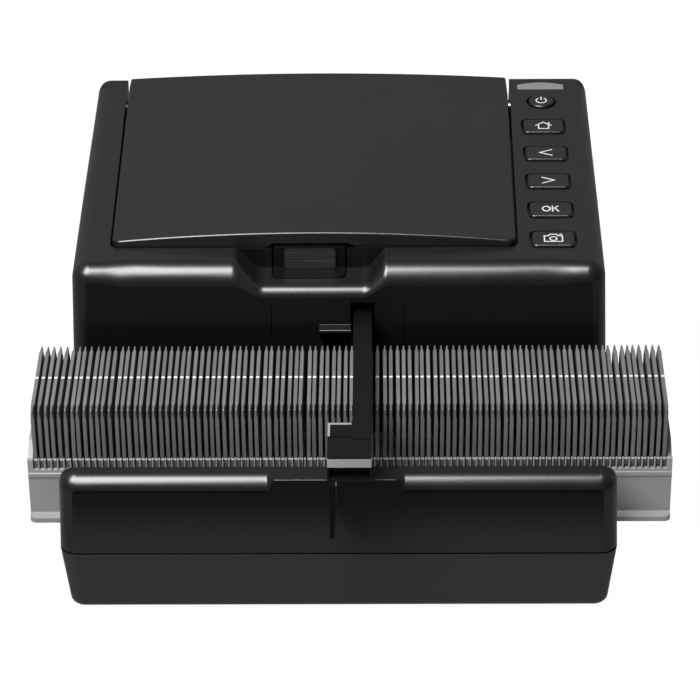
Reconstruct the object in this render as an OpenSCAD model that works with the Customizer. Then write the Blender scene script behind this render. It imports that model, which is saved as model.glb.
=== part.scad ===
// Slide and film scanner with a straight hundred-slot tray, a flip-up display
// lid, a row of keys, and an arm that carries one mounted slide at a time from
// the tray into the scanning gate.
//
// Working frame of the modules: x to the right from the middle of the body,
// y back from the front face, z up from the parting line of the case.
// place() moves it all to the stored frame, whose origin is on the table
// under the middle of the object's box.

/* [Case] */
// Width of the case at its parting line
body_w = 236; // [234:1:238]
// Depth of the case, front face to rear face
body_d = 255; // [254:1:257]
// Height of the main top above the parting line
body_h = 90.2; // [90:0.1:91]
// Front wall of the main body, behind the tray
wall_y = 82; // [81.9:0.1:82.4]
// Height of the bottom shell
base_h = 29.4; // [28.8:0.1:29.6]
// How far the feet stand out under the bottom shell
foot_h = 0.6; // [0.4:0.1:1.2]
// Height of the front rail above the parting line
rail_h = 37.6; // [37:0.1:38]

/* [Tray] */
// Number of slots in the tray
slots = 100; // [80:1:100]
// Pitch of the slots
pitch = 2.686; // [2.680:0.002:2.690]
// Thickness of a divider between two slots
divider = 0.7; // [0.6:0.1:0.8]
// Distance from the middle of the case to the middle of the tray at rest
tray_x = 4.8; // [4.7:0.1:4.9]

/* [Slides] */
// Side of a square slide mount
mount_s = 50; // [49:0.5:50]
// Thickness of a slide mount
mount_t = 1.7; // [1.5:0.1:1.8]

/* [Arm] */
// Width of the arm where it passes over the tray
arm_w = 7.9; // [7:0.1:8.2]
// Underside of the arm above the parting line
arm_z = 58.2; // [58:0.1:58.4]
// Thickness of the arm
arm_t = 9.8; // [9:0.1:9.8]
// Thickness of the pusher blade at its lower edge
blade_t = 1.8; // [1.6:0.05:1.85]

/* [Keys] */
// Length of a rectangular key
key_w = 18.4; // [18:0.2:18.8]
// Depth of a rectangular key
key_d = 11.4; // [11:0.2:11.8]
// Distance between neighbouring rectangular keys
key_pitch = 25.3; // [25.2:0.1:25.4]

/* [Display lid] */
// Rise of the lid's crown over its width
crown = 4.4; // [4.2:0.1:4.5]
// Distance of the hinge axis from the front face
hinge_y = 234; // [233.5:0.5:234.5]

/* [Hidden] */
$fn = 48;

// shift into the stored frame
ox = -tray_x;
oy = -112;
oz = base_h + foot_h;

draft = 3.2;                    // how far each side leans in over the height of the main body
hw = body_w / 2;
tray_l = slots * pitch + 4.2;   // two end walls of 2.1
tray_x0 = tray_x - tray_l / 2;
first_slot = tray_x0 + 2.1 + pitch / 2;
feed_k = 47;                    // the slot in line with the arm
feed_x = first_slot + feed_k * pitch;
slide_y = 24;                   // front edge of a slide in the tray
slide_z = 6.85;                 // lower edge of a slide
gate_y = slide_y + 57.4 + mount_s / 2;  // middle of the slide when it is in the gate
gate_z = slide_z + mount_s / 2;
hinge_z = 87;
key_x = 93.2;
key_y0 = 107.5;
power_y = 231.9;
lid_y0 = 100;
lid_y1 = 254;
lid_cx = -10.8;
arm_x = 14.3;                   // right side of the arm
gear_r = 24 * pitch / (2 * PI); // pitch radius of the tray's drive gear
gear_x = feed_x;
gear_z = 3.9 - gear_r;
rod_z = 64.5;
belt_x = 33;

// outline with every corner rounded: v holds [x, y, radius] for each corner
function unit(a) = a / norm(a);
function arc(v, i, n) =
  let (c = len(v), p = v[(i + c - 1) % c], q = v[i], s = v[(i + 1) % c],
       u = unit([p[0] - q[0], p[1] - q[1]]), w = unit([s[0] - q[0], s[1] - q[1]]),
       half = acos(max(-1, min(1, u * w))) / 2)
  q[2] <= 0 ? [[q[0], q[1]]] :
  let (m = unit(u + w), o = [q[0], q[1]] + m * q[2] / sin(half),
       a = [q[0], q[1]] + u * q[2] / tan(half) - o, b = [q[0], q[1]] + w * q[2] / tan(half) - o,
       a0 = atan2(a[1], a[0]), d = atan2(b[1], b[0]) - a0, t = d > 180 ? d - 360 : d < -180 ? d + 360 : d)
  [for (k = [0:n]) o + q[2] * [cos(a0 + t * k / n), sin(a0 + t * k / n)]];
function rounded(v, n = 6) = [for (i = [0:len(v) - 1]) each arc(v, i, n)];
function rect(x0, x1, y0, y1, r) = [[x0, y0, r], [x1, y0, r], [x1, y1, r], [x0, y1, r]];

module place() { translate([ox, oy, oz]) children(); }
module box(x0, x1, y0, y1, z0, z1) { translate([x0, y0, z0]) cube([x1 - x0, y1 - y0, z1 - z0]); }
module prism_x(p, x0, x1) { translate([x0, 0, 0]) rotate([90, 0, 90]) linear_extrude(x1 - x0) polygon(p); }
module prism_y(p, y0, y1) { translate([0, y1, 0]) rotate([90, 0, 0]) linear_extrude(y1 - y0) polygon(p); }
module prism_z(p, z0, z1) { translate([0, 0, z0]) linear_extrude(z1 - z0) polygon(p); }
module rod_x(r, x0, x1, y, z) { translate([x0, y, z]) rotate([0, 90, 0]) cylinder(r = r, h = x1 - x0); }
module rod_y(r, y0, y1, x, z) { translate([x, y1, z]) rotate([90, 0, 0]) cylinder(r = r, h = y1 - y0); }
module rod_z(r, z0, z1, x, y) { translate([x, y, z0]) cylinder(r = r, h = z1 - z0); }

// side of the case at height z, measured from the middle
function side_x(z) = hw - draft * z / body_h;

// ---------------------------------------------------------------- case

screw_at = [[-104, 26], [104, 26], [-104, 97], [104, 97], [-104, 240], [104, 240]];

chassis_at = [[-16, 99], [70, 99], [-16, 225], [70, 225]];
board_at = [[-92, 130], [-34, 130], [-92, 235], [-34, 244]];

module shell_form(g) {
  // bottom shell, leaning in towards the table; g shrinks it evenly
  intersection() {
    prism_y(rounded([[-hw + g, 1, 0], [-hw + g, 0, 0], [-hw + 3.5 + g, -base_h + g, 4.2],
      [hw - 3.5 - g, -base_h + g, 4.2], [hw - g, 0, 0], [hw - g, 1, 0]]), g, body_d - g);
    prism_x(rounded([[g, 1, 0], [g, 0, 0], [1.5 + g, -base_h + g, 4.2],
      [body_d - 3.5 - g, -base_h + g, 4.2], [body_d - g, 0, 0], [body_d - g, 1, 0]]), -hw + g, hw - g);
    prism_z(rounded(rect(-hw + g, hw - g, g, body_d - g, 7)), -base_h + g - 1, 1);
  }
}

module lower_shell() {
  color([0.10, 0.10, 0.11]) place() difference() {
    union() {
      difference() {
        shell_form(0);
        shell_form(2.4);
        box(-hw - 1, hw + 1, -1, body_d + 1, 0, 3);
      }
      intersection() {
        shell_form(0.5);
        union() {
          for (p = screw_at) rod_z(4.2, -base_h + 2, 0, p[0], p[1]);
          for (p = chassis_at) rod_z(4, -base_h + 2, -22, p[0], p[1]);
          for (p = board_at) rod_z(3, -base_h + 2, -14.2, p[0], p[1]);
        }
      }
    }
    for (p = screw_at) {
      rod_z(1.6, -base_h - 1, 1, p[0], p[1]);
      rod_z(3, -base_h - 1, -base_h + 6, p[0], p[1]);
    }
    // seats of the feet
    for (x = [-92, 92], y = [24, 232]) rod_z(7.1, -base_h - 1, -base_h + 1.2, x, y);
    // cooling slots in the floor
    for (i = [0:8]) box(-36 + i * 9, -33.5 + i * 9, 40, 72, -base_h - 1, -base_h + 4);
  }
}

module rubber_feet() {
  color([0.16, 0.16, 0.17]) place()
    for (x = [-92, 92], y = [24, 232]) rod_z(7, -base_h - foot_h, -base_h + 1.2, x, y);
}

module case_screws() {
  color([0.62, 0.63, 0.66]) place() for (p = screw_at) difference() {
    union() {
      rod_z(2.8, -base_h + 3.6, -base_h + 6, p[0], p[1]);
      rod_z(1.5, -base_h + 5.5, p[1] > wall_y ? 9 : 2.2, p[0], p[1]);
    }
    translate([p[0], p[1], -base_h + 3]) for (a = [0, 90]) rotate(a) translate([-1.7, -0.35, 0]) cube([3.4, 0.7, 1.6]);
  }
}

// plan of the lid; g grows it on every side
function lid_plan(g) = rounded([[-98.4 - g, lid_y0 - g, 4 + g], [76.9 + g, lid_y0 - g, 4 + g],
  [78 + g, lid_y1 + g, 1.5], [-100 - g, lid_y1 + g, 1.5]]);

module upper_shell() {
  color([0.09, 0.09, 0.10]) place() difference() {
    union() {
      difference() {
        intersection() {
          prism_y(rounded([[-hw, 0, 0], [hw, 0, 0], [hw - draft, body_h, 6], [-hw + draft, body_h, 6]]), wall_y, body_d);
          prism_x(rounded([[wall_y, 0, 0], [body_d, 0, 0], [body_d, body_h, 0.8], [wall_y, body_h, 9.5]], 8), -hw, hw);
          prism_z(rounded([[-hw, wall_y, 6], [hw, wall_y, 6], [hw, body_d, 6], [-hw, body_d, 6]]), 0, body_h);
        }
        // the room inside, under the floors of the lid's bay and of the notch
        difference() {
          prism_y([[-hw + 2.4, -1], [hw - 2.4, -1], [hw - draft - 2.4, 80.2], [-hw + draft + 2.4, 80.2]], wall_y + 2.4, body_d - 2.4);
          box(-48, 24, wall_y, 109, 76.6, 81);
        }
        // room under the key strip, the left wing and the front strip
        box(82, hw - draft - 3, wall_y + 7, body_d - 2.4, 79, body_h - 2.2);
        box(-hw + draft + 3, -103.4, wall_y + 7, body_d - 2.4, 79, body_h - 2.2);
        box(-108, -48, wall_y + 7, lid_y0 - 3, 79, body_h - 2.2);
        box(24, 108, wall_y + 7, lid_y0 - 3, 79, body_h - 2.2);
      }
      // wall around the well that the lid's tail swings into
      intersection() {
        difference() {
          rod_x(24.7, -103.4, 81.6, hinge_y, hinge_z);
          rod_x(22.5, -100.6, 78.9, hinge_y, hinge_z);
        }
        box(-103.4, 81.6, hinge_y - 26, body_d - 2, 60, 82.6);
      }
      // screw posts in the corners
      for (p = screw_at) if (p[1] > wall_y) {
        rod_z(4.2, 0, 14, p[0], p[1]);
        box(p[0] > 0 ? p[0] : -hw + 2, p[0] > 0 ? hw - 2 : p[0], p[1] - 1.2, p[1] + 1.2, 0, 14);
      }
    }
    // bay of the lid, its front ledge, and the well behind the hinge
    prism_z(lid_plan(0.6), 86.9, body_h + 5);
    intersection() {
      prism_z(lid_plan(0.6), 82.5, body_h + 5);
      box(-hw, hw, 106, body_d + 5, 80, body_h + 5);
    }
    box(-100.6, 78.8, 246, body_d + 2, 82.5, body_h + 5);
    rod_x(22.5, -100.6, 78.8, hinge_y, hinge_z);
    rod_x(2.02, -102.4, -99, hinge_y, hinge_z);
    rod_x(2.02, 77, 80.8, hinge_y, hinge_z);
    // finger notch in the front edge, and the niche of the release button
    prism_y(rounded([[-44.6, body_h + 1.5, 0], [-34.6, 80.3, 5], [12.7, 80.3, 5], [20.4, body_h + 1.5, 0]]), wall_y - 1, lid_y0);
    prism_z(rounded(rect(-29.2, 3.6, 90.9, 103, 3.6)), 78.8, body_h + 1);
    box(-29.2, 3.6, lid_y0 - 1, 106.5, 78.8, body_h + 1);
    // keys, power key and status light
    for (i = [0:4]) prism_z(rounded(rect(key_x - key_w / 2 - 1.2, key_x + key_w / 2 + 1.2,
      key_y0 + i * key_pitch - key_d / 2 - 1.5, key_y0 + i * key_pitch + key_d / 2 + 1.5, 3)), 87, body_h + 1);
    rod_z(7, 86, body_h + 1, key_x, power_y);
    prism_z(light_plan(0.1), 86, body_h + 1);
    // opening behind the gate panel
    prism_y(rounded([[-29.3, -1, 0], [28.5, -1, 0], [28.5, 74.2, 4.3], [-29.3, 74.2, 4.3]]), wall_y - 1, wall_y + 3);
    for (p = screw_at) if (p[1] > wall_y) rod_z(1.6, -1, 10, p[0], p[1]);
    // rear connectors and cooling slots
    rod_y(4.6, body_d - 4, body_d + 1, -95, 14);
    box(-84, -71.4, body_d - 4, body_d + 1, 8, 19.4);
    box(-62, -46.6, body_d - 4, body_d + 1, 10, 16.2);
    box(-42, -16.6, body_d - 4, body_d + 1, 10.2, 15);
    for (i = [0:11]) box(16 + i * 7, 18.6 + i * 7, body_d - 4, body_d + 1, 14, 44);
  }
}

function light_plan(g) = rounded([[82.5 - g, 244.4 - g, 0.5], [104.3 + g, 244.4 - g, 0.5], [104.3 + g, 249.2 + g, 0.5],
  [98.6, 250.9 + g, 10], [93.4, 251.5 + g, 10], [88.2, 250.9 + g, 10], [82.5 - g, 249.2 + g, 0.5]]);

module status_light() {
  color([0.62, 0.63, 0.64]) place() prism_z(light_plan(-0.05), 84.6, body_h + 0.05);
}

module front_rail() {
  color([0.09, 0.09, 0.10]) place() difference() {
    union() {
      intersection() {
        prism_x(rounded([[0, 0, 0], [13, 0, 0], [13, 17.5, 1.5], [10, 22, 1.5], [10, rail_h, 0.9], [0, rail_h, 7]]), -hw, hw);
        prism_y(rounded([[-hw, 0, 0], [hw, 0, 0], [side_x(rail_h), rail_h, 6], [-side_x(rail_h), rail_h, 6]]), -1, 14);
        prism_z(rounded([[-hw, 0, 7.5], [hw, 0, 7.5], [hw, 14, 0], [-hw, 14, 0]]), 0, rail_h);
      }
      // the rounded edge stops beside the blade, where the face runs straight up
      prism_y([[-30, 30], [-27.4, rail_h], [25.7, rail_h], [28.3, 30]], 0, 8);
    }
    // the room inside, split by two ribs beside the blade's slit
    for (s = [[-hw + 5, -6.2], [2.4, hw - 5]]) {
      box(s[0], s[1], 2.4, 10.8, -1, 15.5);
      box(s[0], s[1], 2.4, 7.6, -1, 29);
    }
    // slit that the pusher blade passes through
    box(feed_x - 1.5, feed_x + 1.5, -1, 11, 27.4, rail_h + 1);
  }
}

module tray_deck() {
  color([0.08, 0.08, 0.09]) place() difference() {
    union() {
      box(-hw + 0.1, hw - 0.1, 13, wall_y, 0, 3.1);
      prism_x([[14.2, 3], [16.4, 3], [16.4, 6.4], [14.2, 6.4]], -hw + 6, hw - 6);
      prism_x([[80.4, 3], [wall_y, 3], [wall_y, 6.3], [80.4, 6.3]], -hw + 6, hw - 6);
    }
    box(gear_x - 9.6, gear_x + 9.6, 58.5, 67.5, -1, 4);
    for (p = screw_at) if (p[1] < wall_y) rod_z(1.6, -1, 2.5, p[0], p[1]);
    // relief grooves that let dust fall clear of the tray
    for (y = [32, 41, 50, 72]) box(-hw + 12, hw - 12, y, y + 2, 2.3, 4);
  }
}

module gate_panel() {
  color([0.085, 0.085, 0.095]) place() difference() {
    union() {
      prism_y(rounded([[-29, 0.1, 0], [28.2, 0.1, 0], [28.2, 73.9, 4], [-29, 73.9, 4]]), wall_y + 0.15, wall_y + 2.5);
      // rim that grips the wall from behind
      box(-31.5, 30.7, wall_y + 2.4, wall_y + 3.4, 0.1, 75.9);
      // hood over the slide opening
      prism_x(rounded([[wall_y - 4.5, 60.4, 0.4], [wall_y + 1, 60.4, 0], [wall_y + 1, 63, 0], [wall_y, 62.2, 0], [wall_y - 4.5, 62.2, 0.5]]), -8.4, 5.1);
    }
    // slide opening and arm opening, which meet
    box(-7.7, 5.1, wall_y - 1, wall_y + 4, 4.5, 60.3);
    box(5.05, 15.4, wall_y - 1, wall_y + 4, 57.4, 73.3);
    box(5.1, 6, wall_y + 2.4, wall_y + 4, 4.5, 60.3);
  }
}

// ---------------------------------------------------------------- inside the main body

module inner_chassis() {
  color([0.70, 0.71, 0.73]) place() difference() {
    union() {
      // separate plates: floor, front, rear, side rail and the shelf of the idler pulley
      box(-22, 78, 89.9, 232, -22, -20);
      box(-30, 46, 89.9, 91.9, -19.95, 74);
      box(-12, 46, 206, 208, -19.95, 74);
      box(44.5, 46, 91.95, 205.95, -19.95, -8);
      box(26.6, 39, 91.95, 109, 56.4, 58.2);
    }
    box(-8, 5.4, 88, 92, 1.2, 58);
    box(-8.5, 28.5, 88, 92, 57.5, 61.6);
    box(-8.5, 28.5, 88, 92, 67.4, 75);
    box(1.5, 18.5, 88, 92, 57.5, 75);
    for (x = [-2.5, 22.5], y = [88, 205]) rod_y(2.02, y, y + 4.4, x, rod_z);
    rod_y(5, 88, 92, gear_x, gear_z);
    rod_z(1.56, 56, 59, belt_x, 103);
    for (p = chassis_at) rod_z(1.6, -23, -19, p[0], p[1]);
  }
}

module film_gate() {
  color([0.13, 0.13, 0.14]) place() difference() {
    union() {
      // separate plates: two cheeks, floor, back and the two legs
      box(feed_x - 5.5, feed_x - 3.1, 91.95, 131.65, 1.6, 57);
      box(feed_x + 3.1, feed_x + 5.5, 91.95, 131.65, 1.6, 57);
      box(feed_x - 3.05, feed_x + 3.05, 91.95, 131.65, 1.6, 6.2);
      box(feed_x - 5.5, feed_x + 5.5, 131.7, 133, 1.6, 57);
      box(feed_x - 9, feed_x - 5.55, 128, 133, -19.95, 8);
      box(feed_x + 5.55, feed_x + 9, 128, 133, -19.95, 8);
    }
    box(feed_x - 7, feed_x + 7, gate_y - 15.4, gate_y + 18.5, gate_z - 12.5, gate_z + 12.5);
  }
}

module diffuser() {
  color([0.93, 0.94, 0.95]) place()
    box(feed_x - 8, feed_x - 5.5, 92.1, gate_y + 21, gate_z - 15, gate_z + 15);
}

module backlight_board() {
  color([0.12, 0.30, 0.20]) place() {
    box(feed_x - 16.6, feed_x - 15, 92.1, gate_y + 21, -18, gate_z + 18);
    for (i = [0:3], j = [0:2]) box(feed_x - 15, feed_x - 13.8, gate_y - 12.4 + i * 9, gate_y - 9.6 + i * 9,
      gate_z - 11.4 + j * 10, gate_z - 8.6 + j * 10);
    box(feed_x - 17, feed_x - 12, 106, gate_y + 21, -20, -18);
  }
}

module lens_mount() {
  color([0.16, 0.16, 0.17]) place() difference() {
    union() {
      prism_x(rounded([[gate_y - 14, -20, 0], [gate_y + 14, -20, 0], [gate_y + 14, gate_z + 15, 8], [gate_y - 14, gate_z + 15, 8]]), 22, 29);
      box(18, 33, gate_y - 14, gate_y + 14, -20, -17);
    }
    rod_x(12.04, 20, 31, gate_y, gate_z);
  }
}

module lens_barrel() {
  color([0.10, 0.10, 0.10]) place() difference() {
    union() {
      rod_x(12, 14, 40, gate_y, gate_z);
      rod_x(13.4, 31, 36, gate_y, gate_z);
    }
    rod_x(8.6, 13, 41, gate_y, gate_z);
    rod_x(10.5, 13, 18, gate_y, gate_z);
  }
}

module lens_glass() {
  color([0.70, 0.80, 0.86]) place() translate([17.95, gate_y, gate_z]) rotate([0, -90, 0])
    rotate_extrude() polygon([[0, 0], [10.4, 0], [10.4, 1], [9, 1.7], [7, 2.5], [4.5, 3.1], [2, 3.4], [0, 3.45]]);
}

module sensor_board() {
  color([0.12, 0.30, 0.20]) place() {
    box(56, 57.6, gate_y - 14, gate_y + 21.5, -20, gate_z + 17);
    box(53.8, 56, gate_y - 13, gate_y + 13, gate_z - 9.5, gate_z + 9.5);
  }
}

module guide_rods() {
  color([0.78, 0.79, 0.81]) place() {
    rod_y(2, 90, 207.8, -2.5, rod_z);
    rod_y(2, 90, 207.8, 22.5, rod_z);
  }
}

module arm_motor() {
  color([0.45, 0.46, 0.48]) place() difference() {
    union() {
      rod_z(11, 34, 57.5, belt_x, 194);
      box(belt_x - 13, belt_x + 13, 183, 206, 31.5, 34);
    }
    rod_z(1.56, 30, 58, belt_x, 194);
  }
}

module drive_belt() {
  color([0.10, 0.10, 0.10]) place() translate([0, 0, 61]) linear_extrude(6) difference() {
    union() {
      translate([belt_x, 103]) circle(r = 7);
      translate([belt_x, 194]) circle(r = 7);
      translate([belt_x - 7, 103]) square([14, 91]);
    }
    translate([belt_x, 103]) circle(r = 6.1);
    translate([belt_x, 194]) circle(r = 6.1);
    translate([belt_x - 6.1, 103]) square([12.2, 91]);
  }
}

module pulley(y, below) {
  difference() {
    union() {
      rod_z(6, 60.2, 68, belt_x, y);
      rod_z(7.6, 59.2, 60.4, belt_x, y);
      rod_z(7.6, 67.6, 68.8, belt_x, y);
      rod_z(1.5, below, 60, belt_x, y);
    }
    for (a = [0:40:320]) translate([belt_x, y, 67.9]) rotate(a) translate([4, 0, 0]) cylinder(r = 0.8, h = 2, $fn = 16);
  }
}

module drive_pulley() { color([0.72, 0.72, 0.74]) place() pulley(194, 40); }
module idler_pulley() { color([0.72, 0.72, 0.74]) place() pulley(103, 56.2); }

module button_board() {
  color([0.12, 0.30, 0.20]) place() {
    box(82.2, hw - draft - 3, 97, 251, 80.4, 82);
    for (i = [0:4]) rod_z(2.4, 82, 82.6, key_x, key_y0 + i * key_pitch);
    rod_z(2.4, 82, 82.6, key_x, power_y);
    box(84, 101.5, 246, 249.5, 82, 84.6);
  }
}

module main_board() {
  color([0.12, 0.30, 0.20]) place() {
    difference() {
      box(-98, -26, 122, 249, -14.2, -12.6);
      for (p = board_at) rod_z(1.5, -15, -12, p[0], p[1]);
    }
    box(-74, -52, 168, 190, -12.6, -10.4);
    box(-92, -80, 150, 170, -12.6, -11);
    box(-60, -44, 204, 214, -12.6, -11.2);
    for (i = [0:3]) rod_z(3.2, -12.6, -4, -94 + i * 8, 204);
    box(-48, -34, 158, 163, -12.6, -6);
  }
}

module power_inlet() {
  color([0.08, 0.08, 0.08]) place() difference() {
    union() {
      rod_y(4.4, 247, body_d - 0.4, -95, 14);
      box(-99.4, -90.6, 244.6, 249, -12.6, 20);
    }
    difference() {
      rod_y(2.8, 246.6, body_d + 1, -95, 14);
      rod_y(1, 246, body_d - 1.4, -95, 14);
    }
  }
}

module data_port() {
  color([0.72, 0.73, 0.75]) place() difference() {
    union() {
      box(-83.8, -71.6, 238, 249, -12.6, 19.2);
      box(-83.8, -71.6, 248, body_d - 0.3, 8.2, 19.2);
    }
    box(-82.7, -72.7, 242, body_d + 1, 9.1, 18.1);
  }
}

module video_port() {
  color([0.72, 0.73, 0.75]) place() difference() {
    union() {
      box(-61.8, -46.8, 242, 249, -12.6, 16);
      box(-61.8, -46.8, 248, body_d - 0.3, 10.2, 16);
    }
    box(-61, -47.6, 244, body_d + 1, 10.8, 15.2);
  }
}

module card_slot() {
  color([0.30, 0.31, 0.33]) place() difference() {
    union() {
      box(-41.8, -16.8, 226, body_d - 0.3, 10.4, 14.8);
      box(-41, -37.5, 228, 247, -12.6, 10.4);
    }
    box(-41.4, -17.2, 229, body_d + 1, 11.2, 14);
  }
}

module hinge_pins() {
  color([0.80, 0.81, 0.83]) place() {
    rod_x(2, -102.3, -92, hinge_y, hinge_z);
    rod_x(2, 69, 80.7, hinge_y, hinge_z);
  }
}

// ---------------------------------------------------------------- tray drive

module tray_motor() {
  color([0.45, 0.46, 0.48]) place() difference() {
    union() {
      rod_y(7.2, 98, 118, gear_x, gear_z);
      box(gear_x - 5, gear_x + 5, 99, 117, -20, gear_z);
    }
    rod_y(1.56, 97, 119, gear_x, gear_z);
  }
}

module shaft_bracket() {
  color([0.30, 0.31, 0.33]) place() difference() {
    union() {
      box(gear_x - 5, gear_x + 5, 50, 54, -base_h + 2.4, -0.2);
      box(gear_x - 5, gear_x + 5, 72, 76, -base_h + 2.4, -0.2);
      box(gear_x - 8, gear_x + 8, 48, 78, -base_h + 2.4, -base_h + 4.4);
    }
    rod_y(1.56, 49, 77, gear_x, gear_z);
  }
}

module tray_shaft() { color([0.80, 0.81, 0.83]) place() rod_y(1.5, 49, 112, gear_x, gear_z); }

module tray_gear() {
  // twenty-four teeth, one of them upright in a gap of the rack at rest
  color([0.86, 0.86, 0.82]) place() translate([gear_x, 66.5, gear_z]) rotate([90, 0, 0]) difference() {
    linear_extrude(7) difference() {
      union() {
        circle(r = gear_r - 0.95);
        for (i = [0:23]) rotate(90 + i * 15)
          polygon([[6, -0.8], [gear_r - 1, -0.8], [gear_r + 0.4, -0.3], [gear_r + 0.4, 0.3], [gear_r - 1, 0.8], [6, 0.8]]);
      }
      for (i = [0:4]) rotate(i * 72) translate([5.4, 0]) circle(r = 1.7);
    }
    translate([0, 0, -1]) cylinder(r = 1.5, h = 9);
  }
}

module tray_rack() {
  // strip let into the underside of the tray, a tooth under each divider
  n = slots;
  color([0.48, 0.49, 0.51]) place() prism_y(concat([[tray_x0 + 0.2, 5.2], [tray_x0 + 0.2, 4.6]],
    [for (i = [0:n - 2]) let (x = first_slot + (i + 0.5) * pitch)
      each [[x - 0.75, 4.6], [x - 0.4, 3.5], [x + 0.4, 3.5], [x + 0.75, 4.6]]],
    [[tray_x0 + tray_l - 0.2, 4.6], [tray_x0 + tray_l - 0.2, 5.2]]), 58.2, 67.8);
}

// ---------------------------------------------------------------- tray and slides

// comb outline: floor at z0, bottoms of the slots at z1, tops of the dividers at z2
function comb(z0, z1, z2) = concat([[tray_x0, z0], [tray_x0 + tray_l, z0], [tray_x0 + tray_l, z2]],
  [for (i = [slots - 1:-1:0]) let (x = first_slot + i * pitch, h = (pitch - divider) / 2)
    each [[x + h, z2], [x + h, z1], [x - h, z1], [x - h, z2]]], [[tray_x0, z2]]);

module tray_body() {
  color([0.50, 0.51, 0.52]) place() difference() {
    union() {
      prism_y(comb(3.5, 28, 33), 21.8, 23.6);
      prism_y(comb(3.5, 6.6, 9.4), 23.5, 77);
      // top lip on the outside of the front wall
      box(tray_x0, tray_x0 + tray_l, 21.35, 21.9, 24.3, 26.4);
      // flanges that run between the guides
      prism_z(rounded([[tray_x0, 17.5, 2.5], [tray_x0 + tray_l, 17.5, 2.5], [tray_x0 + tray_l, 79.8, 2.5], [tray_x0, 79.8, 2.5]]), 3.5, 6.1);
      // end walls
      for (x = [tray_x0, tray_x0 + tray_l - 2.1])
        prism_x(rounded([[21.8, 3.5, 0], [77, 3.5, 0], [77, 36, 4], [34, 36, 6], [21.8, 30, 1]]), x, x + 2.1);
    }
    box(tray_x0 - 1, tray_x0 + tray_l + 1, 58, 68, 3, 5.22);
  }
}

// edge-on outline of a slide mount in the y, z plane, with its stepped corners
function mount_plan(s) = rounded([[0, 0, 1.6], [s, 0, 1.6], [s, s, 1.6], [0, s, 1.6]], 3);

module slide_mounts() {
  color([0.46, 0.47, 0.48]) place() for (k = [0:slots - 1]) if (k != feed_k)
    translate([first_slot + k * pitch - mount_t / 2, slide_y, slide_z]) rotate([90, 0, 90])
      linear_extrude(mount_t) polygon(mount_plan(mount_s));
}

module fed_slide_mount() {
  color([0.46, 0.47, 0.48]) place() translate([feed_x - mount_t / 2, slide_y, slide_z]) rotate([90, 0, 90])
    linear_extrude(mount_t) difference() {
      polygon(mount_plan(mount_s));
      translate([7.25, 13.25]) square([35.5, 23.5]);
    }
}

module fed_slide_film() {
  color([0.35, 0.22, 0.12]) place()
    box(feed_x - 0.1, feed_x + 0.1, slide_y + 7.25, slide_y + 42.75, slide_z + 13.25, slide_z + 36.75);
}

// ---------------------------------------------------------------- changer arm

module changer_arm() {
  x1 = arm_x;
  x0 = x1 - arm_w;
  color([0.085, 0.085, 0.095]) place() difference() {
    union() {
      box(x0, x1, -12, 116, arm_z, arm_z + arm_t);
      // wide head: flat part, lower front part, chamfered nose and lower lip
      prism_x([[-31, arm_z + 0.6], [-30.4, arm_z], [-1.8, arm_z], [-1.8, arm_z + arm_t], [-12.4, arm_z + arm_t],
        [-12.4, arm_z + arm_t - 0.25], [-28.6, arm_z + arm_t - 0.25], [-31, arm_z + arm_t - 2.6]], -3.7, x1);
    }
    // hollow in the nose
    box(-3.0, x1 - 0.7, -32, -28.4, arm_z + 2, arm_z + arm_t - 2.9);
    // step along the top where the arm enters the case
    box(x0 - 1, x0 + 0.5, 70, 117, arm_z + arm_t - 0.6, arm_z + arm_t + 1);
    box(x1 - 0.5, x1 + 1, 70, 117, arm_z + arm_t - 0.6, arm_z + arm_t + 1);
  }
}

module pusher_blade() {
  t = blade_t / 2;
  color([0.06, 0.06, 0.065]) place() {
    // thin upright plate with a rounded lower front corner
    intersection() {
      prism_x(rounded([[-30.6, 28.6, 1.2], [-2.2, 28.6, 0.6], [-2.2, arm_z, 0], [-30.6, arm_z, 0]], 4), feed_x - 2, feed_x + 2);
      prism_y([[feed_x - t + 0.25, 28.5], [feed_x + t - 0.25, 28.5], [feed_x + t, 29.6], [feed_x + t, 34],
        [feed_x + 1.1, 50], [feed_x + 1.1, arm_z], [feed_x - 1.1, arm_z], [feed_x - 1.1, 50], [feed_x - t, 34], [feed_x - t, 29.6]], -31, -2);
    }
    box(feed_x - 1.45, feed_x + 1.45, -30.9, -14, arm_z - 2.6, arm_z);
  }
}

module arm_carriage() {
  color([0.20, 0.20, 0.21]) place() difference() {
    union() {
      box(-7, 18, 95, 115, 58.4, 70);
      box(14.2, 25.2, 95, 115, 60, 69);
    }
    box(arm_x - arm_w, arm_x, 94, 117, 57, arm_z + arm_t);
    rod_y(2.05, 94, 116, -2.5, rod_z);
    rod_y(2.05, 94, 116, 22.5, rod_z);
  }
}

module belt_clamp() {
  color([0.72, 0.72, 0.74]) place() difference() {
    box(20, 28.6, 103, 111, 69, 70.6);
    rod_z(1, 68, 71, 23, 107);
  }
}

// ---------------------------------------------------------------- display lid

module lid_form() {
  // the crowned top, falling slightly to the rear
  r = (86.5 * 86.5 + crown * crown) / (2 * crown);
  intersection() {
    prism_z(lid_plan(0), 84, 99);
    translate([lid_cx, lid_y0, 97.2 - r]) rotate([-1.04, 0, 0]) rotate([90, 0, 0])
      translate([0, 0, -180]) cylinder(r = r, h = 200, $fn = 200);
  }
}

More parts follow.
